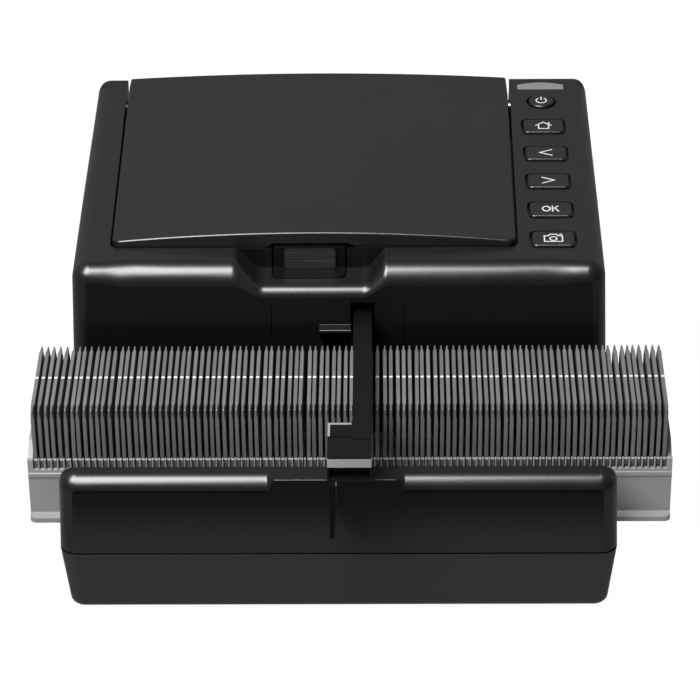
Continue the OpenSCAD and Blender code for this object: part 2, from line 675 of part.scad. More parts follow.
module lid_cover() {
  color([0.10, 0.10, 0.11]) place() difference() {
    lid_form();
    // raised rim at the front, and the frame let into the underside
    box(-104, 80, 98, 106.6, 83, 87.4);
    box(-95, 71.6, 106.5, 226, 83, 86);
    box(-90, 66.6, 112, 222, 85.9, 88.6);
    // cut-out over the release button
    prism_y(rounded([[-34.5, 83, 0], [-32.6, 87.4, 0], [-29, 91.9, 1.5], [4.2, 91.9, 1.5], [10.4, 87.4, 0], [12.3, 83, 0]]), 98, 107.4);
    rod_x(2.05, -101, -91.5, hinge_y, hinge_z);
    rod_x(2.05, 68.5, 79.5, hinge_y, hinge_z);
  }
}

module lid_bezel() {
  color([0.12, 0.12, 0.13]) place() difference() {
    prism_z(rounded(rect(-94.8, 71.4, 107.5, 225.8, 3)), 84, 86);
    prism_z(rounded(rect(lid_cx - 57.5, lid_cx + 57.5, 134, 200, 1.5)), 83, 87);
  }
}

module display_glass() {
  color([0.03, 0.03, 0.04]) place() {
    prism_z(rounded(rect(lid_cx - 57.3, lid_cx + 57.3, 134.2, 199.8, 1.4)), 84.3, 86);
    box(lid_cx - 60, lid_cx + 60, 131, 203, 86, 88.5);
  }
}

// ---------------------------------------------------------------- release button and keys

module release_button() {
  color([0.085, 0.085, 0.095]) place() difference() {
    union() {
      prism_z(rounded([[-28.4, 91.4, 4], [2.8, 91.4, 4], [2.8, 103, 0], [-28.4, 103, 0]]), 79, 80.4);
      box(-28.4, 2.8, 100.3, 103, 79, 90.6);
    }
    box(-23.8, -1.2, 99, 100.8, 80.6, 90);
  }
}

module release_pad() {
  color([0.15, 0.15, 0.16]) place()
    prism_y(rounded([[-23.7, 80.7, 1.2], [-1.3, 80.7, 1.2], [-1.3, 89.9, 1.2], [-23.7, 89.9, 1.2]], 4), 99.7, 100.8);
}

module key(i) {
  y = key_y0 + i * key_pitch;
  color([0.09, 0.09, 0.10]) place() {
    prism_z(rounded(rect(key_x - key_w / 2, key_x + key_w / 2, y - key_d / 2, y + key_d / 2, 2)), 87.5, body_h + 1.1);
    prism_z(rounded(rect(key_x - key_w / 2 - 1.7, key_x + key_w / 2 + 1.7, y - key_d / 2 - 2.4, y + key_d / 2 + 2.4, 3)), 87, 88);
    rod_z(1.8, 83.7, 87.2, key_x, y);
  }
}

module capture_button() { key(0); }
module ok_button() { key(1); }
module next_button() { key(2); }
module back_button() { key(3); }
module home_button() { key(4); }

module power_button() {
  color([0.09, 0.09, 0.10]) place() {
    rod_z(5.8, 87.5, body_h + 1.1, key_x, power_y);
    rod_z(8, 87, 88, key_x, power_y);
    rod_z(1.8, 83.7, 87.2, key_x, power_y);
  }
}

lower_shell();
upper_shell();
front_rail();
tray_deck();
gate_panel();
status_light();
button_board();
main_board();
rubber_feet();
case_screws();
hinge_pins();
inner_chassis();
film_gate();
diffuser();
backlight_board();
lens_barrel();
lens_glass();
lens_mount();
sensor_board();
guide_rods();
arm_motor();
drive_belt();
tray_motor();
shaft_bracket();
power_inlet();
data_port();
video_port();
card_slot();
lid_cover();
lid_bezel();
display_glass();
release_button();
release_pad();
power_button();
home_button();
back_button();
next_button();
ok_button();
capture_button();
tray_body();
tray_rack();
slide_mounts();
fed_slide_mount();
fed_slide_film();
changer_arm();
pusher_blade();
arm_carriage();
belt_clamp();
drive_pulley();
idler_pulley();
tray_gear();
tray_shaft();
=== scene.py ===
"""Looks of the slide and film scanner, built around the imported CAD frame.

Shapes are drawn in millimetres in the drawing frame (x right from the middle
of the case, y back from its front face, z up from the parting line), and are
moved to the shared frame in metres when they are finished.
"""

import bpy
import bmesh
import math
import random
from mathutils import Matrix, Vector


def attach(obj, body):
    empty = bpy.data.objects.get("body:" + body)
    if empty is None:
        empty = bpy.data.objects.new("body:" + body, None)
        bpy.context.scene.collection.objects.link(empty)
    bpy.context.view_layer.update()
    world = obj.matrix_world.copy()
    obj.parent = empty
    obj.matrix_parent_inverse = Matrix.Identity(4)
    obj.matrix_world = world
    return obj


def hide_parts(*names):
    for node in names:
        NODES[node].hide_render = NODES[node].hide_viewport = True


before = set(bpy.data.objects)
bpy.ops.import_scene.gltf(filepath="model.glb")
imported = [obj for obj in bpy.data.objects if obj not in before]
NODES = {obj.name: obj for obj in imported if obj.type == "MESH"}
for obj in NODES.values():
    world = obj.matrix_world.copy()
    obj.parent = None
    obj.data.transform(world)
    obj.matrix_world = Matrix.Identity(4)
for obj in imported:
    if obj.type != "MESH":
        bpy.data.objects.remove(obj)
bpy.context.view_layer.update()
COLL = bpy.context.scene.collection
TO_FRAME = Matrix.Translation(Vector((-0.0048, -0.112, 0.030))) @ Matrix.Scale(0.001, 4)
RAD = math.radians


# ------------------------------------------------------------------ camera
cam_data = bpy.data.cameras.new("view")
cam_data.sensor_width = 36.0
cam_data.lens = 169.5
cam_data.clip_start = 0.05
cam_data.clip_end = 60.0
cam = bpy.data.objects.new("view", cam_data)
COLL.objects.link(cam)
cam.location = (0.0144, -1.2369, 0.8540)
cam.rotation_euler = (Matrix.Rotation(RAD(0.688), 3, "Z") @ Matrix.Rotation(RAD(57.304), 3, "X") @ Matrix.Rotation(RAD(-0.551), 3, "Z")).to_euler()
bpy.context.scene.camera = cam


# ------------------------------------------------------------------ materials
def new_tree(name):
    m = bpy.data.materials.new(name)
    m.use_nodes = True
    nt = m.node_tree
    nt.nodes.clear()
    out = nt.nodes.new("ShaderNodeOutputMaterial")
    bsdf = nt.nodes.new("ShaderNodeBsdfPrincipled")
    nt.links.new(bsdf.outputs["BSDF"], out.inputs["Surface"])
    tc = nt.nodes.new("ShaderNodeTexCoord")
    return m, nt, bsdf, tc


def noise(nt, tc, scale, detail=2.0, rough=0.5, stretch=None):
    n = nt.nodes.new("ShaderNodeTexNoise")
    n.inputs["Scale"].default_value = scale
    n.inputs["Detail"].default_value = detail
    n.inputs["Roughness"].default_value = rough
    if stretch:
        mp = nt.nodes.new("ShaderNodeMapping")
        mp.inputs["Scale"].default_value = stretch
        nt.links.new(tc.outputs["Object"], mp.inputs["Vector"])
        nt.links.new(mp.outputs["Vector"], n.inputs["Vector"])
    else:
        nt.links.new(tc.outputs["Object"], n.inputs["Vector"])
    return n.outputs["Fac"]


def spread(nt, fac, lo, hi, f0=0.3, f1=0.7):
    r = nt.nodes.new("ShaderNodeMapRange")
    r.inputs["From Min"].default_value = f0
    r.inputs["From Max"].default_value = f1
    r.inputs["To Min"].default_value = lo
    r.inputs["To Max"].default_value = hi
    nt.links.new(fac, r.inputs["Value"])
    return r.outputs["Result"]


def blend_colours(nt, fac, a, b):
    x = nt.nodes.new("ShaderNodeMix")
    x.data_type = "RGBA"
    x.inputs[6].default_value = (*a, 1)
    x.inputs[7].default_value = (*b, 1)
    nt.links.new(fac, x.inputs[0])
    return x.outputs[2]


def moulded(name, base, rough, var=0.10, rough_var=0.04, grain=2600.0, bump=0.12,
            grain_mm=0.012, spec=0.5, metallic=0.0, stretch=None, broad=22.0, coat=0.0, coat_rough=0.1, painted_shade_by_z=None):
    """Moulded plastic, rubber or metal with broad tone variation, a fine grain, uneven gloss and, where asked, painted
    shade that changes with height.
    """
    m, nt, p, tc = new_tree(name)
    slow = noise(nt, tc, broad, 3.0, 0.55, stretch)
    tone = spread(nt, slow, 0.0, 1.0)
    lo = tuple(max(0.0, c * (1 - var)) for c in base)
    hi = tuple(min(1.0, c * (1 + var)) for c in base)
    colour = blend_colours(nt, tone, lo, hi)
    if painted_shade_by_z:
        # painted shade: brightness that changes slowly from one height (mm) to another
        sep = nt.nodes.new("ShaderNodeSeparateXYZ")
        nt.links.new(tc.outputs["Object"], sep.inputs[0])
        v = nt.nodes.new("ShaderNodeHueSaturation")
        nt.links.new(spread(nt, sep.outputs["Z"], painted_shade_by_z[1], painted_shade_by_z[3], painted_shade_by_z[0] / 1000, painted_shade_by_z[2] / 1000), v.inputs["Value"])
        nt.links.new(colour, v.inputs["Color"])
        colour = v.outputs["Color"]
    nt.links.new(colour, p.inputs["Base Color"])
    gloss = noise(nt, tc, broad * 6.0, 4.0, 0.6, stretch)
    nt.links.new(spread(nt, gloss, rough - rough_var, rough + rough_var), p.inputs["Roughness"])
    fine = noise(nt, tc, grain, 2.0, 0.5, stretch)
    b = nt.nodes.new("ShaderNodeBump")
    b.inputs["Strength"].default_value = bump
    b.inputs["Distance"].default_value = grain_mm / 1000.0
    nt.links.new(fine, b.inputs["Height"])
    nt.links.new(b.outputs["Normal"], p.inputs["Normal"])
    p.inputs["Specular IOR Level"].default_value = spec
    p.inputs["Metallic"].default_value = metallic
    p.inputs["Coat Weight"].default_value = coat
    p.inputs["Coat Roughness"].default_value = coat_rough
    return m


def slide_plastic(name, base, rough, pitch=2.686, x0=-128.157):
    """Grey plastic whose tone differs a little from one slide mount to the next."""
    m, nt, p, tc = new_tree(name)
    sep = nt.nodes.new("ShaderNodeSeparateXYZ")
    nt.links.new(tc.outputs["Object"], sep.inputs[0])

    def calc(op, a, b):
        n = nt.nodes.new("ShaderNodeMath")
        n.operation = op
        nt.links.new(a, n.inputs[0])
        n.inputs[1].default_value = b
        return n.outputs[0]

    slot_no = calc("FLOOR", calc("DIVIDE", calc("SUBTRACT", sep.outputs["X"], (x0 - 4.8 - pitch / 2) / 1000), pitch / 1000), 0.0)
    w = nt.nodes.new("ShaderNodeTexWhiteNoise")
    w.noise_dimensions = "1D"
    nt.links.new(slot_no, w.inputs["W"])
    each = blend_colours(nt, w.outputs["Value"], tuple(c * 0.86 for c in base), tuple(min(1, c * 1.14) for c in base))
    slow = spread(nt, noise(nt, tc, 60.0, 3.0, 0.6), 0.92, 1.08)
    v = nt.nodes.new("ShaderNodeHueSaturation")
    nt.links.new(slow, v.inputs["Value"])
    nt.links.new(each, v.inputs["Color"])
    nt.links.new(v.outputs["Color"], p.inputs["Base Color"])
    nt.links.new(spread(nt, noise(nt, tc, 240.0, 3.0), rough - 0.05, rough + 0.06), p.inputs["Roughness"])
    b = nt.nodes.new("ShaderNodeBump")
    b.inputs["Strength"].default_value = 0.25
    b.inputs["Distance"].default_value = 0.00002
    nt.links.new(noise(nt, tc, 2200.0, 2.0), b.inputs["Height"])
    nt.links.new(b.outputs["Normal"], p.inputs["Normal"])
    return m


BLACK = moulded("case_black", (0.0044, 0.0044, 0.0045), 0.30, var=0.06, rough_var=0.012)
# darker copy of the case black for walls that face the front: painted shade
SHADED_WALL_BLACK = moulded("wall_black_painted_shade", (0.0022, 0.0022, 0.0023), 0.34, var=0.06, rough_var=0.015, spec=0.24)
# darker copy of the case black for the front block's face, near black at the top and lighter lower down: painted shade
SHADED_FACE_BLACK = moulded("face_black_painted_shade", (0.0062, 0.0062, 0.0063), 0.34, var=0.06, rough_var=0.015, spec=0.26, painted_shade_by_z=(36, 1.5, 57, 0.05))
BLACK_LOW = moulded("case_black_low", (0.0078, 0.0078, 0.0079), 0.38, rough_var=0.02)
LID_BLACK = moulded("lid_black", (0.0050, 0.0050, 0.0052), 0.30, var=0.06, rough_var=0.015)
DECK_BLACK = moulded("deck_black", (0.007, 0.007, 0.007), 0.5)
ARM_BLACK = moulded("arm_black", (0.0018, 0.0018, 0.0019), 0.36, spec=0.19)
# light grey for the small chamfers of the arm's head and the sides of the pusher's tip: painted highlight and painted
# reflection
ARM_EDGE_HIGHLIGHT = moulded("arm_edge_painted_highlight", (0.15, 0.15, 0.152), 0.5)
# near black for the pusher blade, also used as painted shade in the lower shell's groove
BLADE_BLACK_AND_GROOVE_SHADE = moulded("blade_black_and_groove_shade", (0.0012, 0.0012, 0.0012), 0.45, spec=0.12)
KEY_BLACK = moulded("key_black", (0.0055, 0.0055, 0.0056), 0.30)
PAD_GREY = moulded("pad_grey", (0.0030, 0.0030, 0.0032), 0.55, var=0.25, grain=900.0, bump=0.6, grain_mm=0.12)
RUBBER = moulded("foot_rubber", (0.025, 0.025, 0.025), 0.75, bump=0.5, grain_mm=0.05)
LIGHT_GREY = moulded("light_window", (0.12, 0.121, 0.122), 0.45, bump=0.2, grain_mm=0.03)
DIFFUSER = moulded("diffuser_white", (0.80, 0.81, 0.82), 0.6)
TRAY_GREY = moulded("tray_grey", (0.148, 0.148, 0.151), 0.42, var=0.06)
MOUNT_GREY = slide_plastic("mount_grey", (0.075, 0.075, 0.076), 0.5)
# light grey for the marks in the middle of each mount edge: painted highlights
MARK_HIGHLIGHT_WHITE = moulded("mark_highlight_white", (0.40, 0.40, 0.40), 0.5)
PRINT_WHITE = moulded("print_white", (0.36, 0.36, 0.36), 0.5, var=0.03)
FILM = moulded("film_brown", (0.055, 0.030, 0.018), 0.12, var=0.3, broad=120.0, bump=0.02)
BOARD = moulded("board_green", (0.018, 0.085, 0.040), 0.38, var=0.25, broad=400.0)
STEEL = moulded("steel", (0.50, 0.51, 0.52), 0.32, metallic=1.0, stretch=(1, 30, 30), broad=40.0)
ALLOY = moulded("alloy", (0.60, 0.61, 0.62), 0.28, metallic=1.0, stretch=(1, 1, 20), broad=60.0)
PORT_METAL = moulded("port_metal", (0.52, 0.52, 0.53), 0.30, metallic=1.0)
PORT_BLACK = moulded("port_black", (0.012, 0.012, 0.012), 0.35)
LENS_BLACK = moulded("lens_black", (0.012, 0.012, 0.012), 0.30)
GEAR_WHITE = moulded("gear_white", (0.62, 0.60, 0.54), 0.42)
GLASS_DARK = moulded("display_dark", (0.006, 0.006, 0.008), 0.06, rough_var=0.02, bump=0.0, coat=0.5, coat_rough=0.03)
LENS_GLASS = moulded("lens_coating", (0.02, 0.025, 0.05), 0.05, rough_var=0.02, bump=0.0, coat=1.0, coat_rough=0.02)


# ------------------------------------------------------------------ shape helpers
def rounded(v, n=8):
    """Closed outline with its corners rounded: v holds (x, y, radius)."""
    out = []
    c = len(v)
    for i in range(c):
        p, q, s = (Vector(v[k % c][:2]) for k in (i - 1, i, i + 1))
        r = v[i][2] if len(v[i]) > 2 else 0
        if r <= 0:
            out.append(q.copy())
            continue
        u, w = (p - q).normalized(), (s - q).normalized()
        half = math.acos(max(-1.0, min(1.0, u.dot(w)))) / 2
        o = q + (u + w).normalized() * r / math.sin(half)
        a, b = q + u * r / math.tan(half) - o, q + w * r / math.tan(half) - o
        a0 = math.atan2(a.y, a.x)
        d = (math.atan2(b.y, b.x) - a0 + math.pi) % (2 * math.pi) - math.pi
        out += [o + r * Vector((math.cos(a0 + d * k / n), math.sin(a0 + d * k / n))) for k in range(n + 1)]
    return out


def rect(x0, x1, y0, y1, r=0.0):
    return [(x0, y0, r), (x1, y0, r), (x1, y1, r), (x0, y1, r)]


def mesh(name, verts, faces):
    me = bpy.data.meshes.new(name)
    me.from_pydata([tuple(v) for v in verts], [], faces)
    me.update()
    o = bpy.data.objects.new(name, me)
    COLL.objects.link(o)
    return o


def tidy(o, dist=1e-4):
    bm = bmesh.new()
    bm.from_mesh(o.data)
    bmesh.ops.remove_doubles(bm, verts=bm.verts, dist=dist)
    bmesh.ops.dissolve_degenerate(bm, edges=bm.edges, dist=dist)
    bmesh.ops.recalc_face_normals(bm, faces=bm.faces)
    bm.to_mesh(o.data)
    bm.free()
    o.data.update()
    return o


def prism(axis, pts, a, b, name="cutter"):
    """Outline extruded along an axis: x takes (y, z) points, y takes (x, z) points, z takes (x, y) points."""
    n = len(pts)
    put = {"x": lambda p, t: (t, p[0], p[1]), "y": lambda p, t: (p[0], t, p[1]), "z": lambda p, t: (p[0], p[1], t)}[axis]
    verts = [put(p, a) for p in pts] + [put(p, b) for p in pts]
    faces = [tuple(range(n)), tuple(range(n, 2 * n))] + [(i, (i + 1) % n, n + (i + 1) % n, n + i) for i in range(n)]
    return tidy(mesh(name, verts, faces))


def block(x0, x1, y0, y1, z0, z1):
    return prism("z", [Vector(p[:2]) for p in rect(x0, x1, y0, y1)], z0, z1)


def rod(axis, r, a, b, u, v, n=48):
    """Cylinder along an axis; u and v are its place in the other two directions."""
    pts = [Vector((u + r * math.cos(2 * math.pi * k / n), v + r * math.sin(2 * math.pi * k / n))) for k in range(n)]
    return prism(axis, pts, a, b)


def loft(name, rings, cap0=True, cap1=True):
    n = len(rings[0])
    verts = [v for r in rings for v in r]
    faces = []
    for i in range(len(rings) - 1):
        for j in range(n):
            k = (j + 1) % n
            faces.append((i * n + j, i * n + k, (i + 1) * n + k, (i + 1) * n + j))
    if cap0:
        faces.append(tuple(reversed(range(n))))
    if cap1:
        faces.append(tuple(range((len(rings) - 1) * n, len(rings) * n)))
    return tidy(mesh(name, verts, faces))


def bake_modifiers(o):
    bpy.context.view_layer.update()
    dg = bpy.context.evaluated_depsgraph_get()
    me = bpy.data.meshes.new_from_object(o.evaluated_get(dg), preserve_all_data_layers=True, depsgraph=dg)
    old = o.data
    o.modifiers.clear()
    o.data = me
    bpy.data.meshes.remove(old)
    return o


def boolean(o, others, op="DIFFERENCE"):
    for c in others:
        m = o.modifiers.new("cut", "BOOLEAN")
        m.operation = op
        m.solver = "EXACT"
        m.object = c
        bake_modifiers(o)
        me = c.data
        bpy.data.objects.remove(c)
        bpy.data.meshes.remove(me)
    return o


def finish_piece(o, name, body, mat, bevel=0.3, seg=2, angle=32.0, nodes=(), sharp=38.0):
    """Soft edges, weighted normals, then into the shared frame on its body."""
    tidy(o, 2e-4)
    if bevel > 0:
        b = o.modifiers.new("edges", "BEVEL")
        b.width = bevel
        b.segments = seg
        b.limit_method = "ANGLE"
        b.angle_limit = RAD(angle)
        b.use_clamp_overlap = True
        b.miter_outer = "MITER_ARC"
        bake_modifiers(o)
    for p in o.data.polygons:
        p.use_smooth = True
    o.data.set_sharp_from_angle(angle=RAD(sharp))
    w = o.modifiers.new("normals", "WEIGHTED_NORMAL")
    w.keep_sharp = True
    w.weight = 60
    bake_modifiers(o)
    o.data.transform(TO_FRAME)
    o.data.update()
    o.name = name
    o.data.name = name
    o.data.materials.clear()
    for m in mat if isinstance(mat, (list, tuple)) else [mat]:
        o.data.materials.append(m)
    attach(o, body)
    if nodes:
        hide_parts(*nodes)
    return o


def dress(node, mat, bevel=0.2, seg=2, angle=40.0, sharp=35.0):
    """A CAD node keeps its shape and gets soft edges and a finished material."""
    o = NODES[node]
    o.data.materials.clear()
    o.data.materials.append(mat)
    for p in o.data.polygons:
        p.material_index = 0
    w = o.modifiers.new("weld", "WELD")
    w.merge_threshold = 2e-6
    if bevel > 0:
        d = o.modifiers.new("flat", "DECIMATE")
        d.decimate_type = "DISSOLVE"
        d.angle_limit = RAD(0.5)
        b = o.modifiers.new("edges", "BEVEL")
        b.width = bevel / 1000.0
        b.segments = seg
        b.limit_method = "ANGLE"
        b.angle_limit = RAD(angle)
    s = o.modifiers.new("normals", "WEIGHTED_NORMAL")
    s.keep_sharp = True
    s.weight = 60
    for p in o.data.polygons:
        p.use_smooth = True
    return o


def smooth01(t):
    t = max(0.0, min(1.0, t))
    return t * t * (3 - 2 * t)


def lerp_line(line, x):
    """Height of a left-to-right polyline at x."""
    if x <= line[0][0]:
        return line[0][1]
    for a, b in zip(line, line[1:]):
        if x <= b[0]:
            return a[1] if b[0] - a[0] < 1e-9 else a[1] + (b[1] - a[1]) * (x - a[0]) / (b[0] - a[0])
    return line[-1][1]


BODY_H = 90.2
WALL_Y = 82.0
DRAFT = 3.2


def lean(x, z):
    """How far a side leans in at height z."""
    w = smooth01((abs(x) - 60.0) / 45.0)
    return x - math.copysign(DRAFT * z / BODY_H * w, x)


def perimeter(x1, y0, y1, rf, rr, front_x, corner_n=14):
    """Counter-clockwise plan outline of a case part as (x, y, normal x, normal y, where)."""
    out = [(x, y0, 0.0, -1.0, "front") for x in front_x]
    for k in range(corner_n + 1):
        a = RAD(-90 + 90 * k / corner_n)
        out.append((x1 - rf + rf * math.cos(a), y0 + rf + rf * math.sin(a), math.cos(a), math.sin(a), "front_corner"))
    m = 8
    for k in range(1, m):
        out.append((x1, y0 + rf + (y1 - rr - y0 - rf) * k / m, 1.0, 0.0, "side"))
    for k in range(corner_n + 1):
        a = RAD(90 * k / corner_n)
        out.append((x1 - rr + rr * math.cos(a), y1 - rr + rr * math.sin(a), math.cos(a), math.sin(a), "rear_corner"))
    for k in range(1, m):
        out.append((x1 - rr - 2 * (x1 - rr) * k / m, y1, 0.0, 1.0, "rear"))
    for k in range(corner_n + 1):
        a = RAD(90 + 90 * k / corner_n)
        out.append((-x1 + rr + rr * math.cos(a), y1 - rr + rr * math.sin(a), math.cos(a), math.sin(a), "rear_corner"))
    for k in range(1, m):
        out.append((-x1, y1 - rr - (y1 - rr - y0 - rf) * k / m, -1.0, 0.0, "side"))
    for k in range(corner_n + 1):
        a = RAD(180 + 90 * k / corner_n)
        out.append((-x1 + rf + rf * math.cos(a), y0 + rf + rf * math.sin(a), math.cos(a), math.sin(a), "front_corner"))
    return out


def crowned_case(name, per, height, radius, extra=None, n=12, rows=4):
    """Walls with a rounded top edge whose height and radius may change along the outline."""
    hs = [height(p) for p in per]
    rs = [radius(p) for p in per]
    rings = []
    for k in range(rows):
        t = k / (rows - 1)
        rings.append([(lean(p[0], t * (h - r)), p[1], t * (h - r)) for p, h, r in zip(per, hs, rs)])
    for k in range(1, n + 1):
        a = RAD(90 * k / n)
        ring = []
        for p, h, r in zip(per, hs, rs):
            z = h - r + r * math.sin(a)
            o = r * (1 - math.cos(a))
            ring.append((lean(p[0], z) - p[2] * o, p[1] - p[3] * o, z))
        rings.append(ring)
    if extra:
        rings += extra(rings[-1])
    return loft(name, rings)


# ------------------------------------------------------------------ upper shell
LID_CX = -10.8


def lid_edge(y, side, g=0.0):
    t = (y - 100.0) / 154.0
    return -98.4 - 1.6 * t - g if side < 0 else 76.9 + 1.1 * t + g


def lid_outline(g, y0, y1, r=4.0, n=8):
    return rounded([(lid_edge(y0, -1, g), y0 - g, r), (lid_edge(y0, 1, g), y0 - g, r),
                    (lid_edge(y1, 1, g), y1 + g, 0), (lid_edge(y1, -1, g), y1 + g, 0)], n)


KEY_X, KEY_Y0, KEY_PITCH, POWER_Y = 93.2, 107.5, 25.3, 231.9
HINGE_Y, HINGE_Z = 234.0, 87.0
FEED_X = -1.915
SCREWS = [(-104, 26), (104, 26), (-104, 97), (104, 97), (-104, 240), (104, 240)]


def light_outline(g):
    return rounded([(82.5 - g, 244.4 - g, 0.5), (104.3 + g, 244.4 - g, 0.5), (104.3 + g, 249.2 + g, 0.5),
                    (98.6, 250.9 + g, 10), (93.4, 251.5 + g, 10), (88.2, 250.9 + g, 10), (82.5 - g, 249.2 + g, 0.5)], 4)


def build_upper():
    line = [(p.x, p.y) for p in rounded([(-60, BODY_H, 0), (-44.2, BODY_H, 4.5), (-34.6, 80.3, 5.5),
                                         (12.7, 80.3, 5.5), (19.8, BODY_H, 2.6), (40, BODY_H, 0)], 9)]
    line = [p for i, p in enumerate(line) if i == 0 or p[0] > line[i - 1][0] + 1e-6]
    xs = {-110.4, -104, -97, -90, -75, -60, 40, 60, 75, 90, 97, 104, 110.4}
    xs |= {round(p[0], 4) for p in line}
    xs |= {-34 + 3 * k for k in range(16)}
    xs = sorted(xs)
    keep = [xs[0]]
    for x in xs[1:]:
        if x - keep[-1] > 0.12:
            keep.append(x)
    per = perimeter(118.0, WALL_Y, 255.0, 7.5, 6.0, keep)

    def height(p):
        return lerp_line(line, p[0]) if p[4] == "front" else BODY_H

    def radius(p):
        if p[4] == "front":
            deep = (BODY_H - lerp_line(line, p[0])) / (BODY_H - 80.3)
            return 9.5 - 4.5 * smooth01(deep) - 2.3 * smooth01((abs(p[0]) - 96) / 13.5)
        if p[4] == "front_corner":
            return 7.2
        if p[4] == "side":
            return 7.0 - 1.2 * smooth01((p[1] - 95) / 60)
        if p[4] == "rear_corner":
            return 5.8 - 5.5 * abs(p[3])
        return 0.3

    def extra(last):
        shelf, top = [], []
        for p, v in zip(per, last):
            if p[4] == "front" and -60 < p[0] < 40:
                shelf.append((v[0], 100.0, v[2]))
                top.append((v[0], 100.0, BODY_H))
            else:
                shelf.append(v)
                top.append((v[0], v[1], BODY_H))
        return [shelf, top]

    o = crowned_case("upper", per, height, radius, extra)
    # the room inside
    inner = prism("y", [Vector(p) for p in [(-115.6, -1), (115.6, -1), (112.4, 80.2), (-112.4, 80.2)]], WALL_Y + 2.4, 252.6)
    boolean(inner, [block(-48, 24, 81.5, 109, 76.6, 81)])
    boolean(inner, [block(82.2, 111.6, 89, 252.5, 79, 88), block(-111.6, -103.6, 89, 252.5, 79, 88)], "UNION")
    boolean(inner, [rod("x", 24.7, -103.6, 82.2, HINGE_Y, HINGE_Z, 96)])
    cuts = [inner]
    # bay of the lid: front ledge, deeper floor, rear well
    cuts.append(prism("z", lid_outline(0.95, 101.2, 254.0), 86.9, 96))
    cuts.append(prism("z", [Vector(p) for p in [(lid_edge(106.3, -1, 0.95), 106.3), (lid_edge(106.3, 1, 0.95), 106.3),
                                                (lid_edge(252, 1, 0.95), 258), (lid_edge(252, -1, 0.95), 258)]], 82.5, 96))
    cuts.append(rod("x", 22.5, lid_edge(234, -1, 0.95), lid_edge(234, 1, 0.95), HINGE_Y, HINGE_Z, 96))
    cuts.append(rod("x", 2.02, -102.4, -98, HINGE_Y, HINGE_Z))
    cuts.append(rod("x", 2.02, 77, 80.8, HINGE_Y, HINGE_Z))
    # niche of the release button and the seat of its plate
    cuts.append(prism("z", rounded(rect(-29.1, 3.5, 90.8, 101.0, 3.6), 8), 78.75, 90.9))
    cuts.append(block(-29.1, 3.5, 99.2, 106.5, 78.7, 90.9))
    # keys, power key, status light
    for i in range(5):
        y = KEY_Y0 + i * KEY_PITCH
        cuts.append(prism("z", rounded(rect(KEY_X - 10.3, KEY_X + 10.3, y - 8.2, y + 6.6, 3.0), 8), 86.5, 92))
    cuts.append(rod("z", 7.0, 86.5, 92, KEY_X, POWER_Y, 56))
    cuts.append(prism("z", light_outline(0.1), 86.5, 92))
    # gate opening
    cuts.append(prism("y", rounded([(-29.3, -1, 0), (28.5, -1, 0), (28.5, 74.2, 4.3), (-29.3, 74.2, 4.3)], 8), 78, 87))
    # connectors and cooling slots in the rear wall
    cuts.append(rod("y", 4.6, 250, 256, -95, 14))
    cuts.append(block(-84, -71.4, 250, 256, 8, 19.4))
    cuts.append(block(-62, -46.6, 250, 256, 10, 16.2))
    cuts.append(block(-42, -16.6, 250, 256, 10.2, 15))
    for i in range(12):
        cuts.append(prism("y", rounded(rect(16 + i * 7, 18.6 + i * 7, 14, 44, 1.25), 4), 250, 256))
    boolean(o, cuts)
    o = finish_piece(o, "upper_case", "base", [BLACK, SHADED_WALL_BLACK], bevel=0.32, seg=2, nodes=["upper_shell"])
    # walls facing straight to the front take the darker wall material: painted shade
    for p in o.data.polygons:
        if p.normal.y < -0.985:
            p.material_index = 1
    return o


# ------------------------------------------------------------------ front rail
def build_rail():
    line_x = sorted({-109.5, -100, -80, -60, -45, -36, 34, 45, 60, 80, 100, 109.5} |
                    {round(-33 + 0.5 * k, 3) for k in range(19)} | {round(22.5 + 0.5 * k, 3) for k in range(19)} |
                    {-20.0, -10.0, 0.0, 10.0, 18.0})
    per = perimeter(118.0, 0.0, 30.0, 7.5, 7.5, line_x)
    top = 37.6

    def radius(p):
        if p[4] == "front":
            inside = smooth01((p[0] + 29.7) / 3.6) * (1 - smooth01((p[0] - 24.2) / 3.6))
            return 7.0 + (0.35 - 7.0) * inside
        if p[4] == "front_corner":
            return 7.0 - 1.0 * abs(p[2])
        return 6.0

    o = crowned_case("rail", per, lambda p: top, radius, n=14)
    cuts = [block(-120, 120, 13, 40, -5, 50),
            prism("x", [Vector(p) for p in [(10, 22.4), (13.5, 16.9), (40, 16.9), (40, 60), (10, 60)]], -120, 120),
            block(FEED_X - 1.5, FEED_X + 1.5, -2, 12, 27.4, 40)]
    for a, b in ((-112, -6.2), (2.4, 112)):
        cuts.append(block(a, b, 2.4, 10.8, -1, 15.5))
        cuts.append(block(a, b, 2.4, 7.6, -1, 28.5))
    boolean(o, cuts)
    o = finish_piece(o, "front_block", "base", [BLACK, SHADED_FACE_BLACK], bevel=0.3, seg=2, nodes=["front_rail"])
    # the flat front face takes the face material, darker towards the top: painted shade
    for p in o.data.polygons:
        if p.normal.y < -0.985:
            p.material_index = 1
    return o


# ------------------------------------------------------------------ lower shell
def shell_rings(g, z_top, prof, n_corner=12):
    rings = []
    for d, z in prof:
        # the front leans in less than the sides and the rear
        x, y0, y1 = 118.0 - d - g, d + g - 2.0 * max(0.0, min(1.0, -z / 29.85)), 255.0 - d - g
        r = max(7.0 - 0.45 * d - 0.6 * g, 2.2)
        ring = []
        for cx, cy, a0 in ((x - r, y0 + r, -90), (x - r, y1 - r, 0), (-x + r, y1 - r, 90), (-x + r, y0 + r, 180)):
            for k in range(n_corner + 1):
                a = RAD(a0 + 90 * k / n_corner)
                ring.append((cx + r * math.cos(a), cy + r * math.sin(a), z))
        rings.append(ring)
    return rings


